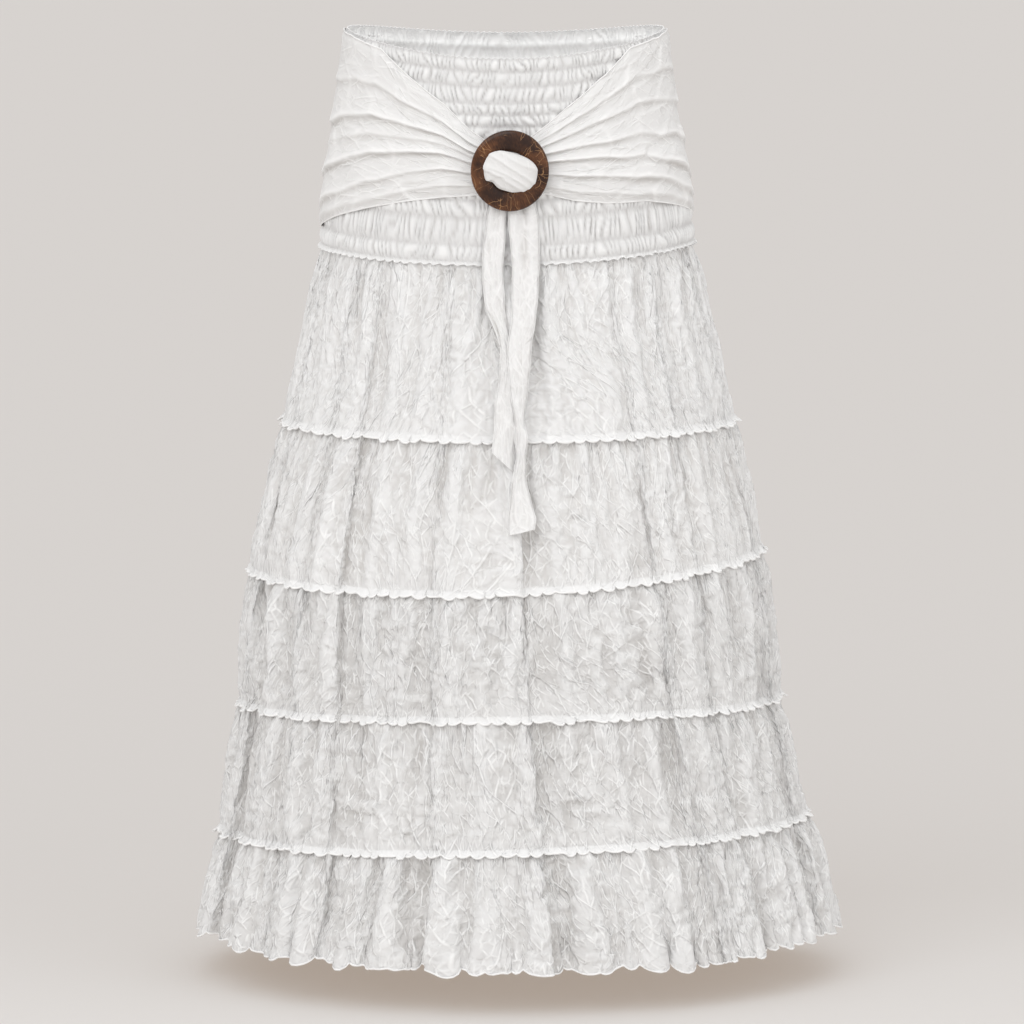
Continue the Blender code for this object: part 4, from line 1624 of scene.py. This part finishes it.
@dataclass(frozen=True)
class Yoke:
    """The smocked waist: rows of puffs between lines of elastic, with a narrow ruffle below."""

    top: Seam = Seam(0, 20, 6, 20)
    elastic_at: tuple[float, ...] = (
        0.0, 0.063, 0.137, 0.22, 0.277, 0.335, 0.40, 0.47, 0.545, 0.62, 0.70, 0.784, 0.92, 1.0,
    )
    columns: int = 860
    rows_a_puff: int = 5
    rib_wide: float = 5.4
    rib_high: float = 1.5
    puff_high: float = 1.6
    lip_drop: float = 2.8
    lip_flare: float = 1.2
    lettuce: float = 1.4
    lettuce_wide: float = 8.5
    top_roll: float = 0.5
    foot_roll: float = 0.6
    girth_at: float = -90.0
    fullness: float = 1.45
    cut_length: float = 200.0

    def ribs(self, lie: Lie, puff: Array, seed: int) -> Array:
        """The gathered ribs: 2 |sin|^0.8 - 1 of a phase that wanders, anew in each puff.

        Args:
            lie: where the points lie.
            puff: which puff, as a number that goes on growing down the yoke.
            seed: picks the wandering.

        Returns:
            Heights of about -1 to 1.
        """
        cells = lie.cells(17.0)
        own = 5.37 * np.floor(puff) + 0.5 * (puff % 1.0)
        wander = lie.noise(cells, seed, own)
        slow = soft_noise(lie.u * cells / lie.girth * 0.5, puff * 0.25, cells // 2, seed + 1)
        count = lie.cells(self.rib_wide)
        phase = np.pi * (lie.u * count / lie.girth + 1.5 * wander + 0.8 * slow)
        size = 1.0 + 0.5 * lie.noise(cells, seed + 2, own, 0.3)
        return size * (2.0 * np.abs(np.sin(phase)) ** 0.8 - 1.0)

    def build(self) -> Edge:
        """Make the yoke's sheet.

        Its distance out is puff height * |sin(pi * way between two elastics)|^0.55, plus the ribs,
        which are pinched low on each elastic and lean a little with it.

        Returns:
            The stitch line along its foot.
        """
        turn = 360.0 * np.arange(self.columns) / self.columns
        top, foot = self.top.height(turn), SEAMS[0].height(turn)
        puffs = len(self.elastic_at) - 1
        number = np.linspace(0.0, puffs, puffs * self.rows_a_puff + 1)
        way = np.interp(number, np.arange(puffs + 1), self.elastic_at)[:, None]
        lip = np.linspace(0.0, 1.0, 5)[1:, None]
        z = np.concatenate([top + (foot - top) * way, foot - self.lip_drop * lip])
        number = np.concatenate([number, np.full(len(lip), float(puffs))])[:, None]
        past = np.concatenate([np.zeros_like(way), lip])
        girth = BODY.girth(self.girth_at)
        lie = Lie(turn / 360.0 * girth, number, girth)

        swell = np.where(past > 0.0, 0.0, np.abs(np.sin(np.pi * (number % 1.0))) ** 0.55)
        ribs = self.ribs(lie, number, 501)
        out = self.puff_high * swell + self.rib_high * ribs * (0.2 + 0.8 * swell)
        out += 0.35 * lie.noise(60, 507, number * 1.1)
        along = 0.8 * swell * lie.noise(90, 511, number)
        sag = 0.9 * (1.0 - swell) * lie.noise(130, 513, number * 1.7)
        top_ribs = 0.6 * np.sin(2.0 * np.pi * lie.u * lie.cells(self.rib_wide) / girth)
        sag = np.where(number < 0.5, top_ribs, sag)
        stitches = Edge(turn, out[len(way) - 1] * 0.3 - 0.6, np.zeros_like(turn))

        phase = 2.0 * np.pi * lie.u * lie.cells(self.lettuce_wide) / girth
        phase = phase + 2.4 * lie.noise(40, 521)
        out += past * (self.lip_flare + self.lettuce * np.sin(phase))
        along += past * 0.3 * self.lettuce * np.cos(phase)
        sag += past * 0.6 * self.lettuce * np.sin(phase + 1.9)
        points = BODY.place(turn, z + sag, out, along)
        points = with_rolled_edge(points, self.foot_roll, True)
        points = with_rolled_edge(points, self.top_roll, True, at_top=True)

        # Painted shade: darker at the elastics and in the gaps between the ribs.
        gap = np.clip(-ribs, 0.0, 1.0)
        shade = 0.3 * (1.0 - swell) + 0.75 * gap * (0.3 + 0.7 * swell)
        shade = np.pad(np.clip(shade, 0.0, 1.0) * (1.0 - past), BOTH_ENDS)
        # Painted highlight: lighter on the ribs' tops, the lip and the rolled edges.
        bright = np.clip(0.75 * np.clip(ribs, 0.0, 1.0) ** 3 * swell + 0.4 * past, 0.0, 0.9)
        bright = np.pad(bright, BELOW, constant_values=0.6)
        bright = np.pad(bright, ABOVE, constant_values=0.2)
        # Painted light on the inside of the back near the top: less painted shade and more painted
        # highlight there.
        behind = ease(-np.cos(np.radians(turn)), -0.45, 0.0)
        down = np.pad(way, ((len(ROLL), len(lip) + len(ROLL)), (0, 0)), mode="edge")
        pale = 0.9 * behind * bell(down, 0.3)
        masks = {"shade": shade * (1.0 - 0.7 * pale), "crest": np.maximum(pale, bright)}
        cut = Cut(self.fullness * girth, self.cut_length, True)
        piece = cloth_piece("yoke_smocked", points, cut, masks)
        dress(piece, SMOCKED_GAUZE.make(), "skirt_gauze", "yoke")
        declare_sheet(piece, cut, sheet_area(points, True))
        return stitches


# --------------------------------------------------------------------------------------- sash


class SashStation(NamedTuple):
    """The sash's upper and lower edges, and how far it stands out, at one turn."""

    turn: float
    top_left: float
    bottom_left: float
    out_left: float
    top_right: float
    bottom_right: float
    out_right: float


class SashFold(NamedTuple):
    """A fold of the sash: where its ledge lies, 0 at the upper edge and 1 at the lower one."""

    at_side: float
    at_middle: float
    at_ring: float
    size: float


@dataclass(frozen=True)
class Sash:
    """The sash: one sheet from the ring round the back and back to the ring."""

    stations: tuple[SashStation, ...] = (
        SashStation(2.0, -82, -120, -0.6, -82, -120, -0.6),
        SashStation(7.2, -76, -125, 0.0, -75, -123, 0.0),
        SashStation(12.0, -67, -127, 0.0, -66, -125, 0.0),
        SashStation(21.0, -44, -129, 0.0, -47, -132, 0.0),
        SashStation(33.5, -22, -134, 0.3, -23, -136, 0.3),
        SashStation(50.0, 6, -143, 0.6, 7, -136, 0.5),
        SashStation(72.0, 16, -157, 0.9, 16, -145, 0.5),
        SashStation(92.0, 19, -170, 0.4, 19, -158, 0.3),
    )
    left_folds: tuple[SashFold, ...] = (
        SashFold(0.250, 0.210, 0.16, 0.70),
        SashFold(0.470, 0.400, 0.28, 1.20),
        SashFold(0.590, 0.520, 0.36, 0.50),
        SashFold(0.740, 0.640, 0.46, 1.30),
        SashFold(0.900, 0.830, 0.62, 0.90),
        SashFold(0.975, 0.950, 0.84, 0.50),
    )
    right_folds: tuple[SashFold, ...] = (
        SashFold(0.200, 0.180, 0.14, 0.60),
        SashFold(0.390, 0.350, 0.24, 0.80),
        SashFold(0.600, 0.550, 0.36, 0.95),
        SashFold(0.790, 0.690, 0.48, 1.30),
        SashFold(0.900, 0.830, 0.68, 1.10),
        SashFold(0.970, 0.950, 0.88, 0.50),
    )
    columns: int = 560
    rows: int = 104
    lift: float = 4.6
    ledge: float = 4.6
    back_dip: float = 22.0
    back_sag: float = 8.0
    side_turn: float = 92.0
    ring_turn: float = 7.2
    edge_roll: float = 0.7
    girth_at: float = -90.0
    cut_length: float = 190.0

    def edges(self, turn: Array) -> tuple[Array, Array, Array]:
        """The sash's upper and lower edge and how far it stands out, at each turn.

        The two front halves read the stations. Round the back the edges go from one side to the
        other and dip by the sine of the way.

        Args:
            turn: turns from just past the ring on one side to just before it on the other.

        Returns:
            Top, bottom and out at each turn.
        """
        at, *columns = np.array(self.stations).T
        read = [np.interp(np.minimum(turn, 360.0 - turn), at, column) for column in columns]
        across = 360.0 - 2.0 * self.side_turn
        way = ease(turn, self.side_turn, 360.0 - self.side_turn)
        top, bottom, out = (
            right * (1.0 - way) + left * way for left, right in zip(read[:3], read[3:])
        )
        middle = np.sin(np.pi * np.clip((turn - self.side_turn) / across, 0.0, 1.0))
        return top - self.back_dip * middle, bottom - self.back_sag * middle, out

    def ledges(self, across: Array, near: Array, side: Side, u: Array) -> tuple[Array, ...]:
        """The folds of one side: each swells towards its ledge and drops off sharply below it.

        With d the distance below the ledge as a share of the sash's width, a fold's height is
        exp(d / 0.09) above it, and bell(d, 0.010) below it. Its painted highlight along its edge is
        bell(d + 0.012, 0.016) and its painted shade below it bell(d - 0.022, 0.022). A fold's line
        goes from its place at the side through the middle to the ring.

        Args:
            across: 0 at the upper edge to 1 at the lower edge.
            near: 0 at the side and 1 at the ring.
            side: which half of the front.
            u: distances along the sash.

        Returns:
            The folds' height as a share, their edges' painted highlights and their painted shades.
        """
        total, edges, shades = (np.zeros(near.shape) for _ in range(3))
        folds = self.left_folds if side is Side.LEFT else self.right_folds
        for number, fold in enumerate(folds):
            line = np.interp(near, (0.0, 0.55, 1.0), (fold.at_side, fold.at_middle, fold.at_ring))
            wander = 0.020 * soft_noise(u / 34.0, number * 3.0, 64, 900 + number)
            d = across - line - wander * (1.0 - 0.6 * near)
            strength = 0.75 + 0.55 * soft_noise(u / 52.0, number * 5.0, 64, 930 + number)
            size = fold.size * strength
            total += size * ledge(d, 0.09, 0.010)
            edges = np.maximum(edges, size * bell(d + 0.012, 0.016))
            shades = np.maximum(shades, size * bell(d - 0.022, 0.022))
        return total, edges, shades

    def build(self) -> None:
        """Make the sash's sheet.

        The sheet lies between its edges on the body, lifted by the folds of whichever side is
        nearest, with long fine wrinkles that run towards the ring.
        """
        first = self.stations[0].turn
        turn = np.linspace(first, 360.0 - first, self.columns)
        top, bottom, out = self.edges(turn)
        from_ring = np.minimum(turn, 360.0 - turn)
        way = (from_ring - self.ring_turn) / (self.side_turn - self.ring_turn)
        round_body = BODY.place(turn, self.girth_at, 0.0)
        steps = np.linalg.norm(np.diff(round_body, axis=0), axis=1)
        across, near, u = np.broadcast_arrays(
            np.linspace(0.0, 1.0, self.rows)[:, None],
            1.0 - np.clip(way, 0.0, 1.0),
            np.concatenate([[0.0], np.cumsum(steps)]),
        )
        way = ease(turn, 120.0, 240.0)
        sides = (self.ledges(across, near, side, u) for side in Side)
        folds, edges, shades = (
            right * (1.0 - way) + left * way for left, right in zip(*sides)
        )
        bent = across * 8.0 + 1.3 * soft_noise(u / 80.0, across * 3.0, 64, 951)
        fine = crumpled(u / 42.0, bent, 64, 953)
        bent = across * 17.0 + 1.5 * soft_noise(u / 44.0, across * 5.0, 64, 955)
        finest = crumpled(u / 19.0, bent, 64, 957)
        wrinkle = 0.8 * fine.height + 0.3 * fine.crease
        wrinkle = wrinkle + 0.22 * finest.height + 0.12 * finest.crease

        tall = top - bottom
        v = across * tall
        lift = self.lift + out + self.ledge * np.clip(folds, 0.0, 1.7) * (0.62 + 0.38 * near)
        lift = lift + wrinkle * (0.35 + 0.65 * np.clip(tall / 120.0, 0.0, 1.0))
        lift = lift - 1.9 * bell(np.minimum(v, tall - v), 4.0)
        lift = lift * (0.55 + 0.45 * ease(from_ring, 2.0, 9.0))
        z = top - v + 0.9 * soft_noise(u / 38.0, across * 2.0, 64, 961) * (1.0 - near)
        points = BODY.place(turn, z, lift)
        area = sheet_area(points, False)
        for at_top in (False, True):
            points = with_rolled_edge(points, self.edge_roll, False, at_top)
        # Painted shade below each ledge, lighter on the folds, and painted highlights along the
        # ledges' edges, on the fine crinkles' crests and on the rolled edges.
        shade = np.clip(0.16 + 0.6 * shades - 0.25 * np.clip(folds, 0.0, 1.0), 0.0, 1.0)
        crest = np.clip(0.8 * edges + 0.3 * fine.crease**2, 0.0, 0.9)
        masks = {
            "shade": np.pad(shade, BOTH_ENDS),
            "crest": np.pad(crest, BOTH_ENDS, constant_values=0.9),
        }
        cut = Cut(float(u[0, -1]) + 2.0 * SEWN_IN, self.cut_length, False)
        piece = cloth_piece("sash_folded", points, cut, masks, turned=True)
        dress(piece, SASH_COTTON.make(), "sash_cotton", "sash_left", "sash_right", "sash_back")
        declare_sheet(piece, cut, area)


@dataclass(frozen=True)
class Knot:
    """The bunch of sash in the ring: a lumpy roll with creases that cross it aslant."""

    profile: tuple[tuple[float, float, float], ...] = (
        (-9.0, 4.0, 3.0), (-8.0, 12.0, 10.0), (-6.4, 16.0, 15.0), (0.0, 16.6, 16.4),
        (5.5, 17.0, 16.4), (8.2, 23.6, 17.9), (11.0, 25.8, 18.6), (13.6, 25.2, 18.0),
        (16.0, 22.4, 15.8), (18.0, 16.6, 11.6), (19.3, 9.4, 6.4), (19.8, 0.6, 0.4),
    )
    creases: tuple[tuple[float, float], ...] = (
        (-12.0, 1.2), (-4.5, 1.8), (3.0, 1.4), (8.5, 2.2), (15.5, 1.2),
    )
    turned: float = 14.0
    around: int = 120
    along: int = 64

    def build(self) -> None:
        """Make the bunch, as rings of points from behind the ring to its front.

        Each ring is an ellipse |cos|^0.80, |sin|^0.82 whose size follows the profile's reach, half
        width and half height. Ledges that cross it aslant are pushed out of it: with w the
        distance across the creases, each is exp(w / 4.5 mm) above its line and drops off below it.
        """
        profile = np.array(self.profile)
        gaps = np.linalg.norm(np.diff(profile, axis=0), axis=1)
        length = np.concatenate([[0.0], np.cumsum(gaps)])
        at = np.linspace(0.0, length[-1], self.along)
        reach, half_width, half_height = (
            smoothed(np.interp(at, length, column), np.array([1.0, 2.0, 3.0, 2.0, 1.0]))
            for column in profile.T
        )
        half_width[-1], half_height[-1] = 0.3, 0.2
        t = 2.0 * np.pi * np.arange(self.around) / self.around
        x = half_width[:, None] * signed_power(np.cos(t), 0.80)
        z = half_height[:, None] * signed_power(np.sin(t), 0.82)
        tilt = math.radians(self.turned)
        x, z = x * math.cos(tilt) + z * math.sin(tilt), z * math.cos(tilt) - x * math.sin(tilt)
        w = -(z * 0.88 + x * 0.47)
        front = ease(reach, 4.0, 12.0)[:, None]
        push = np.zeros_like(w)
        for line, size in self.creases:
            below = w - line - 0.10 * x * np.sin(line) + 0.006 * x * x * np.cos(line)
            push += size * ledge(below, 4.5, 1.5)
        push = (push - 0.5) * front
        spread = 1.0 + 0.018 * push + 0.03 * np.sin(3.0 * t + 0.8) * front
        x, z = x * spread, z * spread
        z = z + 4.2 * bell(t - math.radians(243.0), 0.22) * front * half_height[:, None] / 17.6
        y = RING_BACK - reach[:, None] - 0.75 * push
        points = np.stack([RING_X + x, y, RING_Z + z], axis=-1)
        faces = grid_faces(self.along, self.around, True)[:, ::-1]
        ring = np.arange(self.around)
        caps = np.stack([ring[::-1], ring + (self.along - 1) * self.around])
        flat = np.stack([z * 0.80 + x * 0.60, x * 0.80 - z * 0.60], axis=-1).reshape(-1, 2) * MM
        uv = np.concatenate([flat[faces.ravel()], flat[caps.ravel()]])
        # Painted shade: darker between the ledges and lighter on the raised ones.
        masks = {"shade": np.clip(0.25 - 0.2 * push, 0.0, 1.0)}
        piece = make_piece("sash_bunch", points, faces, uv, masks, caps)
        dress(piece, KNOT_COTTON.make(), "sash_cotton", "sash_knot")


# ---------------------------------------------------------------------------------- ring, tails


@dataclass(frozen=True)
class Ring:
    """The turned coconut ring: a flat band with rounded edges and a slightly domed front."""

    outer: float = 37.0
    inner: float = 17.4
    thickness: float = 6.4
    dome: float = 0.8
    tall: float = 1.04
    around: int = 180
    steps: int = 40

    def build(self) -> None:
        """Turn the band's section about the axis that points to the front.

        With s running round the section, its radius is middle + half width * |cos s|^0.42 and its
        reach is middle + half thickness * |sin s|^0.62, both with the sign of their wave, less the
        dome times the square of the way from the front's middle.
        """
        s = 2.0 * np.pi * np.arange(self.steps) / self.steps
        half_width, middle = (self.outer - self.inner) / 2.0, (self.outer + self.inner) / 2.0
        radius = middle + half_width * signed_power(np.cos(s), 0.42)
        thick = self.thickness / 2.0
        dome = self.dome * (((radius - middle) / half_width) ** 2) * (np.sin(s) > 0)
        reach = -RING_BACK + thick + thick * signed_power(np.sin(s), 0.62) - dome
        t = 2.0 * np.pi * np.arange(self.around) / self.around
        x = RING_X + radius[:, None] * np.cos(t)
        z = RING_Z + self.tall * radius[:, None] * np.sin(t)
        points = np.stack([x, np.broadcast_to(-reach[:, None], x.shape), z], axis=-1)
        faces = grid_faces(self.steps + 1, self.around, True) % (self.steps * self.around)
        piece = make_piece("ring_polished", points, faces)
        dress(piece, ShellFinish().make(), "coconut_shell", "ring_buckle")


class TailStep(NamedTuple):
    """A tail at one height: its middle's x from the ring's, width, stand-off and crown."""

    z: float
    x: float
    width: float
    lift: float
    crown: float


@dataclass(frozen=True)
class Tail:
    """A narrow end of the sash, which hangs from behind the ring and twists as it falls."""

    side: str
    steps: tuple[TailStep, ...]
    twist: tuple[tuple[float, float], ...]
    slant: float
    pleat: float
    flat_width: float
    seed: int
    rows: int = 190
    columns: int = 22
    edge_roll: float = 0.5
    least_stand: float = 2.2

    def build(self) -> None:
        """Make the tail's strip along its table of steps.

        Its middle line, width and stand-off are read between the steps and softened. Across the
        strip the depth is crown * (1 - (2 across)^2) plus the twist's tilt, plus creases of two
        sizes, less pleat * cos(3 pi across), which dies away below the ring.
        """
        at, *columns = np.array(self.steps)[::-1].T
        z = np.linspace(at[-1], at[0], self.rows)
        weights = bell(np.arange(-9, 10), 3.6)
        x, width, lift, crown = (
            smoothed(np.interp(z, at, column), weights)[:, None] for column in columns
        )
        tilt = np.interp(z, *np.array(self.twist)[::-1].T)[:, None]
        across = np.linspace(-0.5, 0.5, self.columns)
        front = BODY.section(z)[1][:, None]
        down = (z[0] - z)[:, None]
        lines = across * 3.4 + 0.6 * soft_noise(down / 40.0, 0.0, 64, self.seed)
        large = crumpled(lines, down / 42.0, 64, self.seed + 1, 9.0)
        lines = across * 5.0 + 0.8 * soft_noise(down / 26.0, 4.0, 64, self.seed)
        small = crumpled(lines, down / 15.0, 64, self.seed + 5)
        fold = 0.9 * large.height + 0.6 * large.crease + 0.45 * small.height + 0.3 * small.crease
        pleat = self.pleat * (1.0 - ease(down, 60.0, 110.0)) * np.cos(3.0 * np.pi * across + 0.3)
        edge = np.abs(2.0 * across) ** 3
        wave = 1.6 * soft_noise(down / 22.0, across * 1.5, 64, self.seed + 2)
        stand = lift + 1.0 + crown * 1.3 * (1.0 - (2.0 * across) ** 2)
        stand = stand + tilt * across + 0.8 * fold + wave * edge - pleat
        x = RING_X + x + width * across + 0.5 * wave * edge
        y = -(front + np.maximum(stand, self.least_stand))
        last = ease(down, float(down.max()) - 22.0, float(down.max()))
        z = z[:, None] - last * (self.slant * (across + 0.5))
        points = np.stack([x, y, z], axis=-1)
        area = sheet_area(points, False)
        points = np.swapaxes(with_rolled_edge(points, self.edge_roll, False), 0, 1)
        for at_top in (False, True):
            points = with_rolled_edge(points, self.edge_roll, False, at_top)
        points = np.swapaxes(points, 0, 1)
        rolled = (BELOW[0], BOTH_ENDS[0])
        # Painted shade in the folds' dips and the pleats, and painted highlights on the creases'
        # crests and on the rolled edges.
        shade = np.clip(0.1 - 0.25 * fold + 0.2 * pleat, 0.0, 1.0)
        crest = 0.5 * np.maximum(large.crease, small.crease) ** 2
        masks = {
            "shade": np.pad(shade, rolled), "crest": np.pad(crest, rolled, constant_values=0.8),
        }
        cut = Cut(self.flat_width, float(at[-1] - at[0]) + abs(self.slant) + SEWN_IN, False)
        piece = cloth_piece(f"tail_ribbon_{self.side}", points, cut, masks)
        dress(piece, SASH_COTTON.make(), "sash_cotton", f"tail_{self.side}")
        declare_sheet(piece, cut, area)


TAILS = (
    Tail(
        "left",
        (
            TailStep(-120.0, -9.5, 14, 3.2, 0.6), TailStep(-151.0, -12.8, 17, 3.2, 1.6),
            TailStep(-192.0, -16.5, 19, 5.4, 2.2), TailStep(-230.0, -14.6, 17, 7.4, 1.2),
            TailStep(-251.0, -8.5, 11, 7.6, 0.8), TailStep(-271.0, -3.0, 10, 7.8, 0.6),
            TailStep(-299.0, -4.3, 11, 7.8, 1.0), TailStep(-322.0, -5.2, 16, 8.2, 1.4),
            TailStep(-345.0, -5.2, 18, 9.6, 1.4), TailStep(-366.0, -6.6, 19, 10.6, 1.0),
        ),
        ((-120.0, 0.0), (-190.0, 3.0), (-245.0, -5.0), (-300.0, 4.0), (-370.0, -4.0)),
        18.0, 0.8, 20.0, 1201,
    ),
    Tail(
        "right",
        (
            TailStep(-120.0, 9.5, 18, 3.2, 0.6), TailStep(-149.0, 12.8, 28, 3.8, 1.2),
            TailStep(-192.0, 15.0, 25, 6.8, 1.6), TailStep(-225.0, 14.2, 22, 9.6, 1.6),
            TailStep(-242.0, 13.0, 21, 10.6, 1.6), TailStep(-270.0, 8.5, 22, 11.2, 2.0),
            TailStep(-298.0, 8.5, 17, 11.4, 2.4), TailStep(-322.0, 8.6, 12, 11.8, 2.6),
            TailStep(-338.0, 9.4, 7, 12.6, 3.0), TailStep(-352.0, 10.6, 12, 14.0, 2.4),
            TailStep(-369.0, 11.0, 7, 13.6, 2.4), TailStep(-392.0, 8.4, 12, 12.8, 2.0),
            TailStep(-412.0, 10.8, 19, 12.2, 2.4), TailStep(-428.0, 11.8, 25, 12.0, 2.8),
            TailStep(-442.0, 11.0, 23, 12.0, 2.4),
        ),
        (
            (-120.0, 0.0), (-180.0, -3.0), (-240.0, 4.0), (-322.0, -6.0), (-352.0, 7.0),
            (-392.0, -6.0), (-430.0, 4.0),
        ),
        -6.0, 2.0, 24.0, 1301,
    ),
)


# ------------------------------------------------------------------------------------- studio


class Lamp(NamedTuple):
    """A far light: where it hangs, its watts a square metre, and how wide it looks in degrees."""

    name: str
    towards: tuple[float, float, float]
    strength: float
    spread: float


@dataclass(frozen=True)
class Studio:
    """The pale floor, the soft lights and the camera."""

    lamps: tuple[Lamp, ...] = (
        Lamp("key", (-0.36, -0.68, 0.64), 0.95, 50.0),
        Lamp("fill", (0.45, -0.80, 0.38), 0.62, 80.0),
        Lamp("left_side", (-0.97, -0.12, 0.20), 0.30, 90.0),
        Lamp("right_side", (0.97, -0.12, 0.20), 0.42, 90.0),
        Lamp("top", (0.05, 0.10, 0.99), 0.50, 60.0),
    )
    lamp_colour: Colour = (0.985, 0.992, 1.0)
    room_colour: Colour = (0.885, 0.865, 0.845)
    room_strength: float = 0.52
    floor_z: float = -893.0
    floor_half: float = 30000.0
    camera_at: tuple[float, float, float] = (0.006, -9.0, 0.81)
    pitch: float = 7.95
    lens: float = 331.8

    def build(self) -> None:
        """Lay the floor, hang the lights and stand the camera."""
        self.lay_floor()
        for lamp in self.lamps:
            self.hang(lamp)
        self.light_world()
        self.stand_camera()
        LOG.info("studio: floor, %d lights and camera", len(self.lamps))

    def lay_floor(self) -> None:
        """Lay the floor: a level square, wide enough to fill every view."""
        half = self.floor_half
        corners = ((-half, half), (-half, -half), (half, -half), (half, half))
        points = np.array([(x, y, self.floor_z) for x, y in corners])
        floor = make_piece("floor", points, np.array([[0, 1, 2, 3]]))
        floor.data.materials.append(FloorFinish().make())

    def hang(self, lamp: Lamp) -> None:
        """Hang a large far light, which is as bright on the floor as on the skirt.

        Args:
            lamp: where it hangs, and how strong and wide it is.
        """
        light = bpy.data.lights.new(lamp.name, "SUN")
        light.energy, light.color = lamp.strength, self.lamp_colour
        light.angle = math.radians(lamp.spread)
        hung = bpy.data.objects.new(lamp.name, light)
        hung.rotation_euler = (-Vector(lamp.towards)).to_track_quat("-Z", "Y").to_euler()
        bpy.context.scene.collection.objects.link(hung)

    def light_world(self) -> None:
        """Light the room evenly and slightly warmly from all round."""
        world = bpy.data.worlds.new("soft_room")
        world.use_nodes = True
        NodeBoard(world.node_tree).fill(
            world.node_tree.nodes["Background"], Color=self.room_colour, Strength=self.room_strength
        )
        bpy.context.scene.world = world
        bpy.context.scene.view_settings.view_transform = "Standard"

    def stand_camera(self) -> None:
        """Stand the camera in front, a little above the waist, looking slightly down."""
        data = bpy.data.cameras.new("camera")
        data.sensor_width, data.lens, data.clip_end = 36.0, self.lens, 100.0
        camera = bpy.data.objects.new("camera", data)
        camera.location = self.camera_at
        camera.rotation_euler = (math.radians(90.0 - self.pitch), 0.0, 0.0)
        bpy.context.scene.collection.objects.link(camera)
        bpy.context.scene.camera = camera


# ----------------------------------------------------------------------------------- assembly


def main() -> None:
    """Build the studio and every piece in order, and report each one."""
    logging.basicConfig(level=logging.INFO, format="%(name)s: %(message)s")
    Studio().build()
    stitches = Yoke().build()
    for tier in TIERS:
        stitches = tier.build(stitches)
    for piece in (Sash(), Knot(), Ring(), *TAILS):
        piece.build()


if __name__ == "__main__":
    main()
